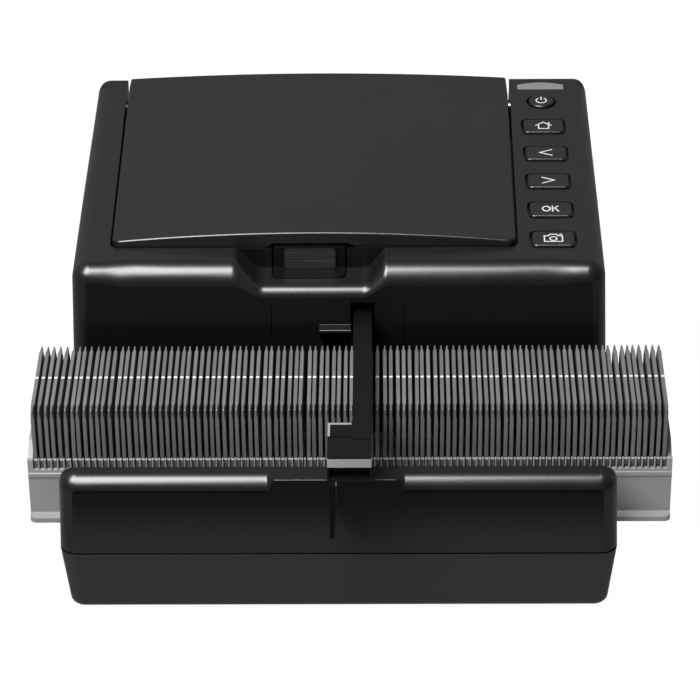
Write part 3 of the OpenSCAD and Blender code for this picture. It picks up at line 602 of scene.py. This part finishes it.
def build_lower():
    # a shadow gap under the parting line, then walls that lean in to a rounded lower edge
    prof = [(0.9, 0.0), (0.9, -0.66), (0.04, -0.72), (0.0, -0.78)]
    prof += [(p.x, p.y) for p in rounded([(0, -0.78, 0), (3.5, -29.85, 4.0), (30, -29.85, 0)], 10)][1:-1]
    o = loft("lower", list(reversed(shell_rings(0.0, 0.0, prof))))
    inner_prof = [(0, 1.0), (0, 0.0), (3.5, -26.8)]
    inner = loft("inner", list(reversed(shell_rings(2.6, 0.0, inner_prof))))
    boolean(o, [inner])
    boolean(o, [rod("z", 4.2, -27.4, -0.05, x, y) for x, y in SCREWS], "UNION")
    cuts = []
    for x, y in SCREWS:
        cuts.append(rod("z", 1.6, -31, 1, x, y, 32))
        cuts.append(rod("z", 3.0, -31, -23.2, x, y, 40))
    for x in (-92, 92):
        for y in (24, 232):
            cuts.append(rod("z", 7.1, -31, -28.0, x, y, 48))
    for i in range(9):
        cuts.append(prism("z", rounded(rect(-36 + i * 9, -33.5 + i * 9, 40, 72, 1.2), 4), -31, -25))
    boolean(o, cuts)
    o = finish_piece(o, "bottom_shell", "base", [BLACK_LOW, BLADE_BLACK_AND_GROOVE_SHADE], bevel=0.1, seg=1, nodes=["lower_shell"])
    inv = TO_FRAME.inverted()
    # faces of the shadow gap at the top take the blade's near-black material: painted shade in the groove
    for p in o.data.polygons:
        if (inv @ p.center).z > -0.74:
            p.material_index = 1
    return o


# ------------------------------------------------------------------ lid
TILT = math.tan(RAD(1.04))


def lid_top(x, y):
    rise = 4.4 - 1.8 * max(0.0, min(1.0, (y - 100.0) / 154.0))
    return 97.2 - rise * ((x - LID_CX) / 87.6) ** 2 - TILT * (y - 100.0)


def resample(pts, step):
    """Closed outline with no edge longer than step."""
    out = []
    for i, a in enumerate(pts):
        b = pts[(i + 1) % len(pts)]
        m = max(1, math.ceil((b - a).length / step))
        out += [a.lerp(b, k / m) for k in range(m)]
    return out


def inset(pts, d):
    """Counter-clockwise outline moved inwards."""
    out = []
    for i, q in enumerate(pts):
        a, b = pts[i - 1], pts[(i + 1) % len(pts)]
        u, w = (q - a).normalized(), (b - q).normalized()
        n0, n1 = Vector((-u.y, u.x)), Vector((-w.y, w.x))
        m = (n0 + n1).normalized()
        out.append(q + m * d / max(0.5, m.dot(n0)))
    return out


def build_lid():
    g = -0.15
    plan = rounded([(lid_edge(100, -1, g), 101.3, 4.2), (lid_edge(100, 1, g), 101.3, 4.2), (lid_edge(237, 1, g), 237, 0),
                    (lid_edge(254, 1) - 0.7, 254, 1.0), (lid_edge(254, -1) + 0.5, 254, 1.0), (lid_edge(247, -1, g), 247, 0)], 9)
    plan = resample([Vector(p) for p in plan], 4.0)
    r = 1.05
    rings = [[(p.x, p.y, 84.0) for p in plan], [(p.x, p.y, lid_top(p.x, p.y) - r) for p in plan]]
    for k in range(1, 8):
        a = RAD(90 * k / 7)
        top = inset(plan, r * (1 - math.cos(a)))
        rings.append([(p.x, p.y, lid_top(p.x, p.y) - r + r * math.sin(a)) for p in top])
    mid = Vector((LID_CX, 177.0))
    for f in (0.95, 0.86, 0.74, 0.6, 0.45, 0.3, 0.15, 0.04):
        ring = [mid + (p - mid) * f for p in top]
        rings.append([(p.x, p.y, lid_top(p.x, p.y)) for p in ring])
    o = loft("lid", rings)
    cuts = [block(-106, 84, 96, 106.6, 83, 87.4),
            prism("z", rounded(rect(-95, 71.6, 106.5, 226, 3), 5), 83, 86),
            block(-90, 66.6, 112, 222, 85.9, 88.6),
            prism("y", rounded([(-35.2, 82, 0), (-33.2, 87.4, 0), (-28.9, 91.9, 1.2), (4.4, 91.9, 1.2), (10.6, 87.4, 0), (12.5, 82, 0)], 5), 96, 107.4),
            rod("x", 2.05, -103, -91.5, HINGE_Y, HINGE_Z),
            rod("x", 2.05, 68.5, 80, HINGE_Y, HINGE_Z)]
    boolean(o, cuts)
    return finish_piece(o, "lid_panel", "lid", LID_BLACK, bevel=0.0, nodes=["lid_cover"], sharp=40)


# ------------------------------------------------------------------ keys and their symbols
def cap(outline_at, z0, z1, r, dish=0.12, n=6):
    """Key cap: straight skirt, rounded edge, slightly dished top. outline_at(inset) gives its outline."""
    rings = [[(p.x, p.y, z0) for p in outline_at(0.0)], [(p.x, p.y, z1 - r) for p in outline_at(0.0)]]
    for k in range(1, n + 1):
        a = RAD(90 * k / n)
        rings.append([(p.x, p.y, z1 - r + r * math.sin(a)) for p in outline_at(r * (1 - math.cos(a)))])
    for f in (0.35, 0.75):
        rings.append([(p.x, p.y, z1 - dish * f) for p in outline_at(r + 3.6 * f)])
    return loft("cap", rings)


def stroke(pts, w, z0, z1, closed=False):
    """A drawn line of width w with mitred corners, as a thin raised print."""
    P = [Vector(p) for p in pts]
    n = len(P)
    left, right = [], []
    for i in range(n):
        a = P[(i - 1) % n] if closed or i > 0 else None
        c = P[(i + 1) % n] if closed or i < n - 1 else None
        d0 = (P[i] - a).normalized() if a is not None else (c - P[i]).normalized()
        d1 = (c - P[i]).normalized() if c is not None else d0
        t = d0 + d1
        t = t.normalized() if t.length > 1e-6 else d0
        nrm = Vector((-t.y, t.x))
        k = max(0.35, abs(nrm.dot(Vector((-d0.y, d0.x)))))
        left.append(P[i] + nrm * w / 2 / k)
        right.append(P[i] - nrm * w / 2 / k)
    verts, faces = [], []
    for z in (z0, z1):
        verts += [(p.x, p.y, z) for p in left] + [(p.x, p.y, z) for p in right]
    L0, R0, L1, R1 = 0, n, 2 * n, 3 * n
    m = n if closed else n - 1
    for i in range(m):
        j = (i + 1) % n
        faces += [(L1 + i, R1 + i, R1 + j, L1 + j), (L0 + j, R0 + j, R0 + i, L0 + i),
                  (L0 + i, L1 + i, L1 + j, L0 + j), (R0 + j, R1 + j, R1 + i, R0 + i)]
    if not closed:
        faces += [(L0, R0, R1, L1), (L0 + n - 1, L1 + n - 1, R1 + n - 1, R0 + n - 1)]
    return verts, faces


def merge_parts(name, parts):
    verts, faces = [], []
    for v, f in parts:
        k = len(verts)
        verts += v
        faces += [tuple(i + k for i in q) for q in f]
    return tidy(mesh(name, verts, faces))


def circle_pts(cx, cy, r, n=28, a0=0.0, a1=360.0, closed=True):
    m = n if closed else n + 1
    return [(cx + r * math.cos(RAD(a0 + (a1 - a0) * k / n)), cy + r * math.sin(RAD(a0 + (a1 - a0) * k / n))) for k in range(m)]


def symbols(kind, cx, cy, z0, z1):
    w = 0.56
    s = []
    if kind == "power":
        s.append(stroke(circle_pts(cx, cy - 0.3, 2.35, 26, 122, 418, False), 0.6, z0, z1))
        s.append(stroke([(cx, cy + 0.3), (cx, cy + 3.1)], 0.6, z0, z1))
    elif kind == "home":
        s.append(stroke([(cx - 3.7, cy - 0.1), (cx, cy + 3.1), (cx + 3.7, cy - 0.1)], w, z0, z1))
        s.append(stroke([(cx - 2.3, cy + 0.9), (cx - 2.3, cy - 2.9), (cx + 2.3, cy - 2.9), (cx + 2.3, cy + 0.9)], w, z0, z1))
        s.append(stroke([(cx + 2.6, cy + 1.1), (cx + 2.6, cy + 3.0)], w, z0, z1))
    elif kind == "back":
        s.append(stroke([(cx + 2.9, cy + 2.7), (cx - 2.7, cy), (cx + 2.9, cy - 2.7)], w, z0, z1))
    elif kind == "next":
        s.append(stroke([(cx - 2.9, cy + 2.7), (cx + 2.7, cy), (cx - 2.9, cy - 2.7)], w, z0, z1))
    elif kind == "ok":
        ring = [(cx - 1.95 + 1.65 * math.cos(RAD(a)), cy + 2.05 * math.sin(RAD(a))) for a in range(0, 360, 15)]
        s.append(stroke(ring, 0.62, z0, z1, True))
        s.append(stroke([(cx + 0.75, cy - 2.45), (cx + 0.75, cy + 2.45)], 0.62, z0, z1))
        s.append(stroke([(cx + 3.35, cy + 2.4), (cx + 0.9, cy - 0.35)], 0.62, z0, z1))
        s.append(stroke([(cx + 1.7, cy + 0.55), (cx + 3.5, cy - 2.4)], 0.62, z0, z1))
    elif kind == "camera":
        s.append(stroke([(cx - 3.9, cy - 2.9), (cx + 3.9, cy - 2.9), (cx + 3.9, cy + 1.9), (cx + 2.1, cy + 1.9), (cx + 1.3, cy + 3.2),
                         (cx - 1.3, cy + 3.2), (cx - 2.1, cy + 1.9), (cx - 3.9, cy + 1.9)], w, z0, z1, True))
        s.append(stroke(circle_pts(cx, cy - 0.5, 1.55, 24), 0.52, z0, z1, True))
        s.append(stroke([(cx + 2.6, cy + 2.9), (cx + 3.9, cy + 3.3)], 0.6, z0, z1))
    return s


def build_keys():
    top = BODY_H + 1.0
    names = [("capture_button", "key_capture", "camera"), ("ok_button", "key_ok", "ok"), ("next_button", "key_next", "next"),
             ("back_button", "key_back", "back"), ("home_button", "key_home", "home")]
    for i, (node, body, kind) in enumerate(names):
        y = KEY_Y0 + i * KEY_PITCH

        def outline(d, y=y):
            return rounded(rect(KEY_X - 9.2 + d, KEY_X + 9.2 - d, y - 7.4 + d, y + 4.9 - d, max(2.1 - d * 0.6, 0.6)), 6)

        o = cap(outline, 87.9, top, 0.9)
        flange = prism("z", rounded(rect(KEY_X - 11.5, KEY_X + 11.5, y - 8.1, y + 8.1, 3), 5), 87.1, 87.95)
        stem = rod("z", 1.8, 83.75, 87.2, KEY_X, y, 24)
        boolean(o, [flange, stem], "UNION")
        finish_piece(o, node[:-7] + "_key", body, KEY_BLACK, bevel=0.0, nodes=[node], sharp=40)
        ink = merge_parts("ink", symbols(kind, KEY_X, y - 1.3, top - 0.16, top + 0.03))
        finish_piece(ink, node[:-7] + "_symbol", body, PRINT_WHITE, bevel=0.0)

    def ring(d):
        return [Vector((KEY_X + (5.8 - d) * math.cos(2 * math.pi * k / 48), POWER_Y + (5.8 - d) * math.sin(2 * math.pi * k / 48))) for k in range(48)]

    o = cap(ring, 87.9, top, 0.9)
    boolean(o, [rod("z", 7.9, 87.1, 87.95, KEY_X, POWER_Y, 48), rod("z", 1.8, 83.75, 87.2, KEY_X, POWER_Y, 24)], "UNION")
    finish_piece(o, "power_key", "key_power", KEY_BLACK, bevel=0.0, nodes=["power_button"], sharp=40)
    ink = merge_parts("ink", symbols("power", KEY_X, POWER_Y, top - 0.16, top + 0.03))
    finish_piece(ink, "power_symbol", "key_power", PRINT_WHITE, bevel=0.0)


# ------------------------------------------------------------------ release button
def build_release():
    o = prism("z", rounded([(-28.4, 91.5, 3.6), (2.8, 91.5, 3.6), (2.8, 103, 0), (-28.4, 103, 0)], 8), 79.05, 80.35)
    boolean(o, [prism("y", rounded([(-28.4, 79.05, 0), (2.8, 79.05, 0), (2.8, 90.5, 0.8), (-28.4, 90.5, 0.8)], 4), 100.3, 103)], "UNION")
    boolean(o, [prism("y", rounded(rect(-23.8, -1.2, 80.45, 90.0, 1.3), 5), 99, 100.9)])
    finish_piece(o, "latch_button", "release", ARM_BLACK, bevel=0.35, seg=3, nodes=["release_button"])
    pad = prism("y", rounded(rect(-23.6, -1.4, 80.5, 89.85, 1.2), 5), 100.1, 100.85)
    ribs = [prism("x", [Vector(p) for p in [(99.85, 81.8 + 1.25 * k), (99.85, 82.15 + 1.25 * k), (100.3, 81.98 + 1.25 * k)]], -22.4, -2.6) for k in range(6)]
    boolean(pad, ribs)
    for v in pad.data.vertices:
        if v.co.y < 100.5:
            v.co.y -= 0.13 * (90.0 - v.co.z)
    finish_piece(pad, "latch_pad", "release", PAD_GREY, bevel=0.2, nodes=["release_pad"])


# ------------------------------------------------------------------ status light
def build_light():
    o = prism("z", light_outline(-0.05), 84.65, BODY_H + 0.02)
    finish_piece(o, "light_window", "base", LIGHT_GREY, bevel=0.25, nodes=["status_light"])


# ------------------------------------------------------------------ slides
PITCH = 2.686
SLOTS = 100
FIRST = 4.8 - (SLOTS * PITCH + 3.2) / 2 + 1.6 + PITCH / 2
FEED_K = 47


def slide_shape():
    """One slide mount standing on edge: y and z from 0 to 50, x across its thickness, with thin guiding corners."""
    s = 50.0
    outer, inner, thick = [], [], []

    def corner(cx, cy, sx, sy, first):
        pts = [(cx + sx * 4.9, cy), (cx + sx * 2.7, cy), (cx + sx * 0.45, cy), (cx, cy + sy * 0.45), (cx, cy + sy * 2.7), (cx, cy + sy * 4.9)]
        ins = [(cx + sx * 5.3, cy + sy * 0.45), (cx + sx * 3.7, cy + sy * 1.3), (cx + sx * 2.5, cy + sy * 2.3),
               (cx + sx * 2.3, cy + sy * 2.5), (cx + sx * 1.3, cy + sy * 3.7), (cx + sx * 0.45, cy + sy * 5.3)]
        th = [0.72, 0.27, 0.24, 0.24, 0.27, 0.72]
        if not first:
            pts, ins, th = pts[::-1], ins[::-1], th[::-1]
        outer.extend(pts)
        inner.extend(ins)
        thick.extend(th)

    corner(0, 0, 1, 1, False)
    corner(s, 0, -1, 1, True)
    corner(s, s, -1, -1, False)
    corner(0, s, 1, -1, True)
    rings = [[(-0.85, *p) for p in inner], [(-t, *p) for p, t in zip(outer, thick)], [(t, *p) for p, t in zip(outer, thick)], [(0.85, *p) for p in inner]]
    o = loft("slide", rings)
    boolean(o, [block(-2, 2, 7.25, 42.75, 13.25, 36.75)])
    # step round the window
    step = prism("x", [Vector(p) for p in [(6.2, 12.2), (43.8, 12.2), (43.8, 37.8), (6.2, 37.8)]], 0.66, 2)
    step2 = prism("x", [Vector(p) for p in [(6.2, 12.2), (43.8, 12.2), (43.8, 37.8), (6.2, 37.8)]], -2, -0.66)
    boolean(o, [step, step2])
    tidy(o)
    b = o.modifiers.new("edges", "BEVEL")
    b.width = 0.12
    b.segments = 1
    b.limit_method = "ANGLE"
    b.angle_limit = RAD(35)
    bake_modifiers(o)
    return o


def mount_edge_highlights():
    """The light marks in the middle of each edge of a mount, seen end-on: painted highlights."""
    out = []
    for y0, y1, z0, z1 in ((24.35, 25.65, 49.86, 50.04), (-0.04, 0.14, 24.5, 25.3), (49.86, 50.04, 24.5, 25.3)):
        v = [(x, y, z) for x in (-0.68, 0.68) for y in (y0, y1) for z in (z0, z1)]
        f = [(0, 1, 3, 2), (4, 6, 7, 5), (0, 4, 5, 1), (2, 3, 7, 6), (0, 2, 6, 4), (1, 5, 7, 3)]
        out.append((v, f))
    return out


def build_slides():
    rng = random.Random(41)
    proto = slide_shape()
    pv = [v.co.copy() for v in proto.data.vertices]
    pf = [tuple(p.vertices) for p in proto.data.polygons]
    bpy.data.objects.remove(proto)
    film_v = [(x, y, z) for x in (-0.1, 0.1) for y in (7.0, 43.0) for z in (13.0, 37.0)]
    film_f = [(0, 1, 3, 2), (4, 6, 7, 5), (0, 4, 5, 1), (2, 3, 7, 6), (0, 2, 6, 4), (1, 5, 7, 3)]
    tops = []
    leans = []
    target = 0.0
    for k in range(SLOTS):
        target = 0.72 * target + rng.uniform(-0.34, 0.34)
        t = max(-0.46, min(0.46, target + rng.uniform(-0.2, 0.2)))
        if k == 46:
            t = -0.1
        if k == FEED_K:
            t = 0.0
        if k == 42:
            t = -0.4
        if k == 43:
            t = 0.42
        x = FIRST + k * PITCH + t
        if tops and x - tops[-1] < 1.80:
            x = tops[-1] + 1.80
            t = x - FIRST - k * PITCH
        tops.append(x)
        leans.append(t)
    mounts, marks, films = ([], []), ([], []), ([], [])

    def add(store, verts, faces, mat):
        k = len(store[0])
        store[0].extend([mat @ Vector(v) for v in verts])
        store[1].extend([tuple(i + k for i in f) for f in faces])

    for k in range(SLOTS):
        yaw = rng.uniform(-0.22, 0.22)
        if k == FEED_K:
            continue
        mat = (Matrix.Translation(Vector((FIRST + k * PITCH, 24.0, 6.87))) @ Matrix.Rotation(math.atan2(leans[k], 50.0), 4, "Y") @
               Matrix.Translation(Vector((0, 25, 0))) @ Matrix.Rotation(RAD(yaw), 4, "Z") @ Matrix.Translation(Vector((0, -25, 0))))
        add(mounts, pv, pf, mat)
        for v, f in mount_edge_highlights():
            add(marks, v, f, mat)
        add(films, film_v, film_f, mat)
    finish_piece(mesh("m", *mounts), "framed_slides", "slide_tray", MOUNT_GREY, bevel=0.0, nodes=["slide_mounts"], sharp=25)
    finish_piece(mesh("m", *marks), "slide_marks", "slide_tray", MARK_HIGHLIGHT_WHITE, bevel=0.0)
    finish_piece(mesh("m", *films), "slide_films", "slide_tray", FILM, bevel=0.0)
    # the slide in line with the arm
    one = Matrix.Translation(Vector((FEED_X, 24.0, 6.87)))
    fed, fed_marks = ([], []), ([], [])
    add(fed, pv, pf, one)
    for v, f in mount_edge_highlights():
        add(fed_marks, v, f, one)
    finish_piece(mesh("m", *fed), "fed_slide_frame", "fed_slide", MOUNT_GREY, bevel=0.0, nodes=["fed_slide_mount"], sharp=25)
    finish_piece(mesh("m", *fed_marks), "fed_slide_marks", "fed_slide", MARK_HIGHLIGHT_WHITE, bevel=0.0)
    dress("fed_slide_film", FILM, bevel=0.0)


# ------------------------------------------------------------------ arm
def build_arm():
    x0, x1, z0, z1 = 6.4, 14.3, 58.2, 68.0
    beam = prism("z", [Vector(p) for p in [(x0, -14), (x1, -14), (x1, 116), (x0, 116), (x0, 0.2), (x0 + 0.0, 0.2)]][:4], z0, z1)
    # inner fillet where the head meets the arm
    head = prism("x", rounded([(-31, z0 + 0.5, 0.3), (-30.4, z0, 0), (-1.8, z0, 0), (-1.8, z1 - 0.02, 0), (-12.4, z1 - 0.02, 0),
                               (-12.4, z1 - 0.27, 0), (-28.5, z1 - 0.27, 0.2), (-31, z1 - 2.7, 0.2)], 3), -3.7, x1 + 0.01)
    corner = prism("z", rounded([(x0 + 1, -3.0, 0), (x0 + 1, -0.9, 0), (x0, -0.9, 0), (x0 - 0.1, -1.5, 0.3), (x0 - 0.75, -1.8, 0), (x0 - 0.75, -3.0, 0)], 4), z0 + 0.01, z1 - 0.03)
    boolean(beam, [head, corner], "UNION")
    cuts = [block(-3.0, x1 - 0.7, -33, -28.2, z0 + 1.9, z1 - 3.0)]
    # shallow chamfers on the rear and left edges of the head's raised part
    cuts.append(prism("x", [Vector(p) for p in [(-3.9, z1 + 0.0), (-1.0, z1 - 0.62), (-1.0, z1 + 2), (-3.9, z1 + 2)]], -5, x0 - 0.4))
    cuts.append(prism("y", [Vector(p) for p in [(-2.75, z1 - 0.02), (-4.2, z1 - 0.75), (-4.2, z1 + 2), (-2.75, z1 + 2)]], -12.3, 0))
    # curved step near the root
    arc = [(x0 - 1, 79.5)] + [(x0 + 8.0 * t / 10, 79.5 + 2.2 * (t / 10) ** 2) for t in range(11)] + [(x1 + 1, 82.0), (x1 + 1, 100), (x0 - 1, 100)]
    cuts.append(prism("z", [Vector(p) for p in arc], z1 - 0.35, z1 + 2))
    boolean(beam, cuts)
    o = finish_piece(beam, "arm_lever", "changer", [ARM_BLACK, ARM_EDGE_HIGHLIGHT, BLACK], bevel=0.22, seg=2, nodes=["changer_arm"])
    inv = TO_FRAME.inverted()
    for p in o.data.polygons:
        c = inv @ p.center
        nz = p.normal
        # the small chamfers on the head's raised part take the light grey edge material: painted highlight
        if c.z > z1 - 0.8 and ((-12.2 < c.y < -1.2 and c.x < -2.7 and nz.x < -0.25) or (c.y > -3.95 and c.y < -0.9 and c.x < x0 - 0.5 and nz.y > 0.1)):
            p.material_index = 1
        elif c.y < -28.4 and c.z > z1 - 3.2 and nz.y < -0.35 and nz.z > 0.35:
            p.material_index = 2
    return o


def build_blade():
    t = 0.9
    side = rounded([(-30.6, 28.7, 1.4), (-2.3, 28.7, 0.6), (-2.3, 58.2, 0), (-30.6, 58.2, 0)], 5)
    o = prism("x", side, FEED_X - 2, FEED_X + 2)
    front = [(FEED_X - t + 0.45, 28.6), (FEED_X + t - 0.45, 28.6), (FEED_X + t, 30.2), (FEED_X + t, 34), (FEED_X + 1.1, 50), (FEED_X + 1.1, 58.3),
             (FEED_X - 1.1, 58.3), (FEED_X - 1.1, 50), (FEED_X - t, 34), (FEED_X - t, 30.2)]
    boolean(o, [prism("y", [Vector(p) for p in front], -32, 0)], "INTERSECT")
    boolean(o, [prism("y", rounded(rect(FEED_X - 1.45, FEED_X + 1.45, 55.6, 58.19, 0.35), 3), -30.9, -14)], "UNION")
    o = finish_piece(o, "pusher", "changer", [BLADE_BLACK_AND_GROOVE_SHADE, ARM_BLACK, ARM_EDGE_HIGHLIGHT], bevel=0.15, seg=1, nodes=["pusher_blade"])
    inv = TO_FRAME.inverted()
    # the top of the blade takes the arm's black, and the sides of its tip the light grey edge material: painted
    # reflection
    for p in o.data.polygons:
        c = inv @ p.center
        if c.z > 55.4:
            p.material_index = 1
        elif c.z < 30.3 and abs(p.normal.x) > 0.25:
            p.material_index = 2
    return o


build_upper()
build_rail()
build_lower()
build_lid()
build_keys()
build_release()
build_light()
build_slides()
build_arm()
build_blade()

# ------------------------------------------------------------------ CAD nodes that keep their shape
dress("tray_deck", DECK_BLACK, 0.25)
# the gate panel takes the darker wall material as painted shade, and only its upward faces take the lighter case black
gate = dress("gate_panel", SHADED_WALL_BLACK, 0.4, 3)
gate.data.materials.append(BLACK)
for p in gate.data.polygons:
    p.material_index = 1 if p.normal.z > 0.3 else 0
dress("tray_body", TRAY_GREY, 0.14, 1)
dress("tray_rack", TRAY_GREY, 0.0)
dress("rubber_feet", RUBBER, 0.4)
dress("case_screws", STEEL, 0.0)
pins = dress("hinge_pins", STEEL, 0.15)
# the left hinge pin takes the dark deck material, painted shade in place of its glint
pins.data.materials.append(DECK_BLACK)
for p in pins.data.polygons:
    p.material_index = 1 if p.center.x < 0 else 0
dress("inner_chassis", STEEL, 0.2)
dress("film_gate", DECK_BLACK, 0.2)
dress("diffuser", DIFFUSER, 0.2)
dress("backlight_board", BOARD, 0.05)
dress("lens_barrel", LENS_BLACK, 0.2)
dress("lens_glass", LENS_GLASS, 0.0)
dress("lens_mount", DECK_BLACK, 0.3)
dress("sensor_board", BOARD, 0.05)
dress("guide_rods", STEEL, 0.2)
dress("arm_motor", STEEL, 0.3)
dress("drive_belt", RUBBER, 0.1)
dress("tray_motor", STEEL, 0.3)
dress("shaft_bracket", DECK_BLACK, 0.2)
dress("power_inlet", PORT_BLACK, 0.15)
dress("data_port", PORT_METAL, 0.1)
dress("video_port", PORT_METAL, 0.1)
dress("card_slot", PORT_METAL, 0.1)
dress("button_board", BOARD, 0.05)
dress("main_board", BOARD, 0.05)
dress("lid_bezel", BLACK, 0.3)
dress("display_glass", GLASS_DARK, 0.15)
dress("arm_carriage", DECK_BLACK, 0.3)
dress("belt_clamp", ALLOY, 0.1)
dress("drive_pulley", ALLOY, 0.15)
dress("idler_pulley", ALLOY, 0.15)
dress("tray_gear", GEAR_WHITE, 0.08, 1)
dress("tray_shaft", STEEL, 0.15)

# ------------------------------------------------------------------ studio
floor = bpy.data.objects.new("studio_floor", bpy.data.meshes.new("studio_floor"))
floor.data.from_pydata([(-8, -6, 0), (8, -6, 0), (8, 10, 0), (-8, 10, 0)], [], [(0, 1, 2, 3)])
COLL.objects.link(floor)
m, nt, p, tc = new_tree("studio_floor")
nt.links.new(blend_colours(nt, noise(nt, tc, 3.0), (0.91, 0.91, 0.91), (0.93, 0.93, 0.93)), p.inputs["Base Color"])
p.inputs["Roughness"].default_value = 0.9
p.inputs["Specular IOR Level"].default_value = 0.0
floor.data.materials.append(m)
floor.visible_glossy = False

# lamps for the object leave the floor out, and the floor has an even light of its own
only_floor = bpy.data.collections.new("only_floor")
only_floor.objects.link(floor)
not_floor = bpy.data.collections.new("not_floor")
not_floor.objects.link(floor)


def link_light(o, floor_too=False):
    o.visible_camera = False
    if floor_too:
        return
    o.light_linking.receiver_collection = not_floor


def softbox(name, at, target, size, size_y, radiance, roll=0.0):
    """Rectangular lamp of even brightness; radiance is relative to the white of the picture."""
    d = bpy.data.lights.new(name, "AREA")
    d.shape = "RECTANGLE"
    d.size = size
    d.size_y = size_y
    d.energy = radiance * math.pi * size * size_y
    o = bpy.data.objects.new(name, d)
    o.location = at
    o.rotation_euler = (Vector(target) - Vector(at)).to_track_quat("-Z", "Y").to_euler()
    COLL.objects.link(o)
    link_light(o)
    return o


softbox("key", (-0.36, -0.51, 1.14), (0.0, 0.0, 0.07), 0.72, 0.95, 24.5)

sun = bpy.data.lights.new("floor_light", "SUN")
sun.energy = 3.15
sun.use_shadow = False
sun_o = bpy.data.objects.new("floor_light", sun)
sun_o.location = (0, 0, 3)
sun_o.visible_camera = False
COLL.objects.link(sun_o)
sun_o.light_linking.receiver_collection = only_floor
not_floor.collection_objects[0].light_linking.link_state = "EXCLUDE"

world = bpy.data.worlds.new("studio")
bpy.context.scene.world = world
world.use_nodes = True
wt = world.node_tree
bg = wt.nodes["Background"]
wc = wt.nodes.new("ShaderNodeTexCoord")
ws = wt.nodes.new("ShaderNodeSeparateXYZ")
wt.links.new(wc.outputs["Generated"], ws.inputs[0])
up = wt.nodes.new("ShaderNodeMapRange")
up.inputs["From Min"].default_value = -1.0
up.inputs["From Max"].default_value = 1.0
wt.links.new(ws.outputs["Z"], up.inputs["Value"])


def by_height(stops):
    """Brightness of the studio by the sine of the height above the horizon."""
    r = wt.nodes.new("ShaderNodeValToRGB")
    r.color_ramp.interpolation = "EASE"
    e = r.color_ramp.elements
    while len(e) > 1:
        e.remove(e[-1])
    for i, (deg, v) in enumerate(stops):
        pos = (math.sin(RAD(deg)) + 1) / 2
        if i == 0:
            e[0].position = pos
            e[0].color = (v, v, v, 1)
        else:
            n = e.new(pos)
            n.color = (v, v, v, 1)
    wt.links.new(up.outputs["Result"], r.inputs["Fac"])
    return r.outputs["Color"]


front = by_height([(-90, 0.55), (-47, 0.55), (-36, 0.30), (-32, 0.22), (-20, 0.09), (-4, 0.05), (25, 0.08), (90, 0.06)])
back = by_height([(-90, 0.35), (-20, 0.25), (8, 0.25), (32.5, 0.31), (42, 0.26), (58, 0.08), (90, 0.06)])
side = wt.nodes.new("ShaderNodeMapRange")
side.interpolation_type = "SMOOTHSTEP"
side.inputs["From Min"].default_value = -0.25
side.inputs["From Max"].default_value = 0.25
wt.links.new(ws.outputs["Y"], side.inputs["Value"])
wm = wt.nodes.new("ShaderNodeMix")
wm.data_type = "RGBA"
wt.links.new(side.outputs["Result"], wm.inputs[0])
wt.links.new(front, wm.inputs[6])
wt.links.new(back, wm.inputs[7])
wt.links.new(wm.outputs[2], bg.inputs[0])
bg.inputs[1].default_value = 1.0
bpy.context.scene.view_settings.view_transform = "Standard"
bpy.context.scene.view_settings.look = "None"
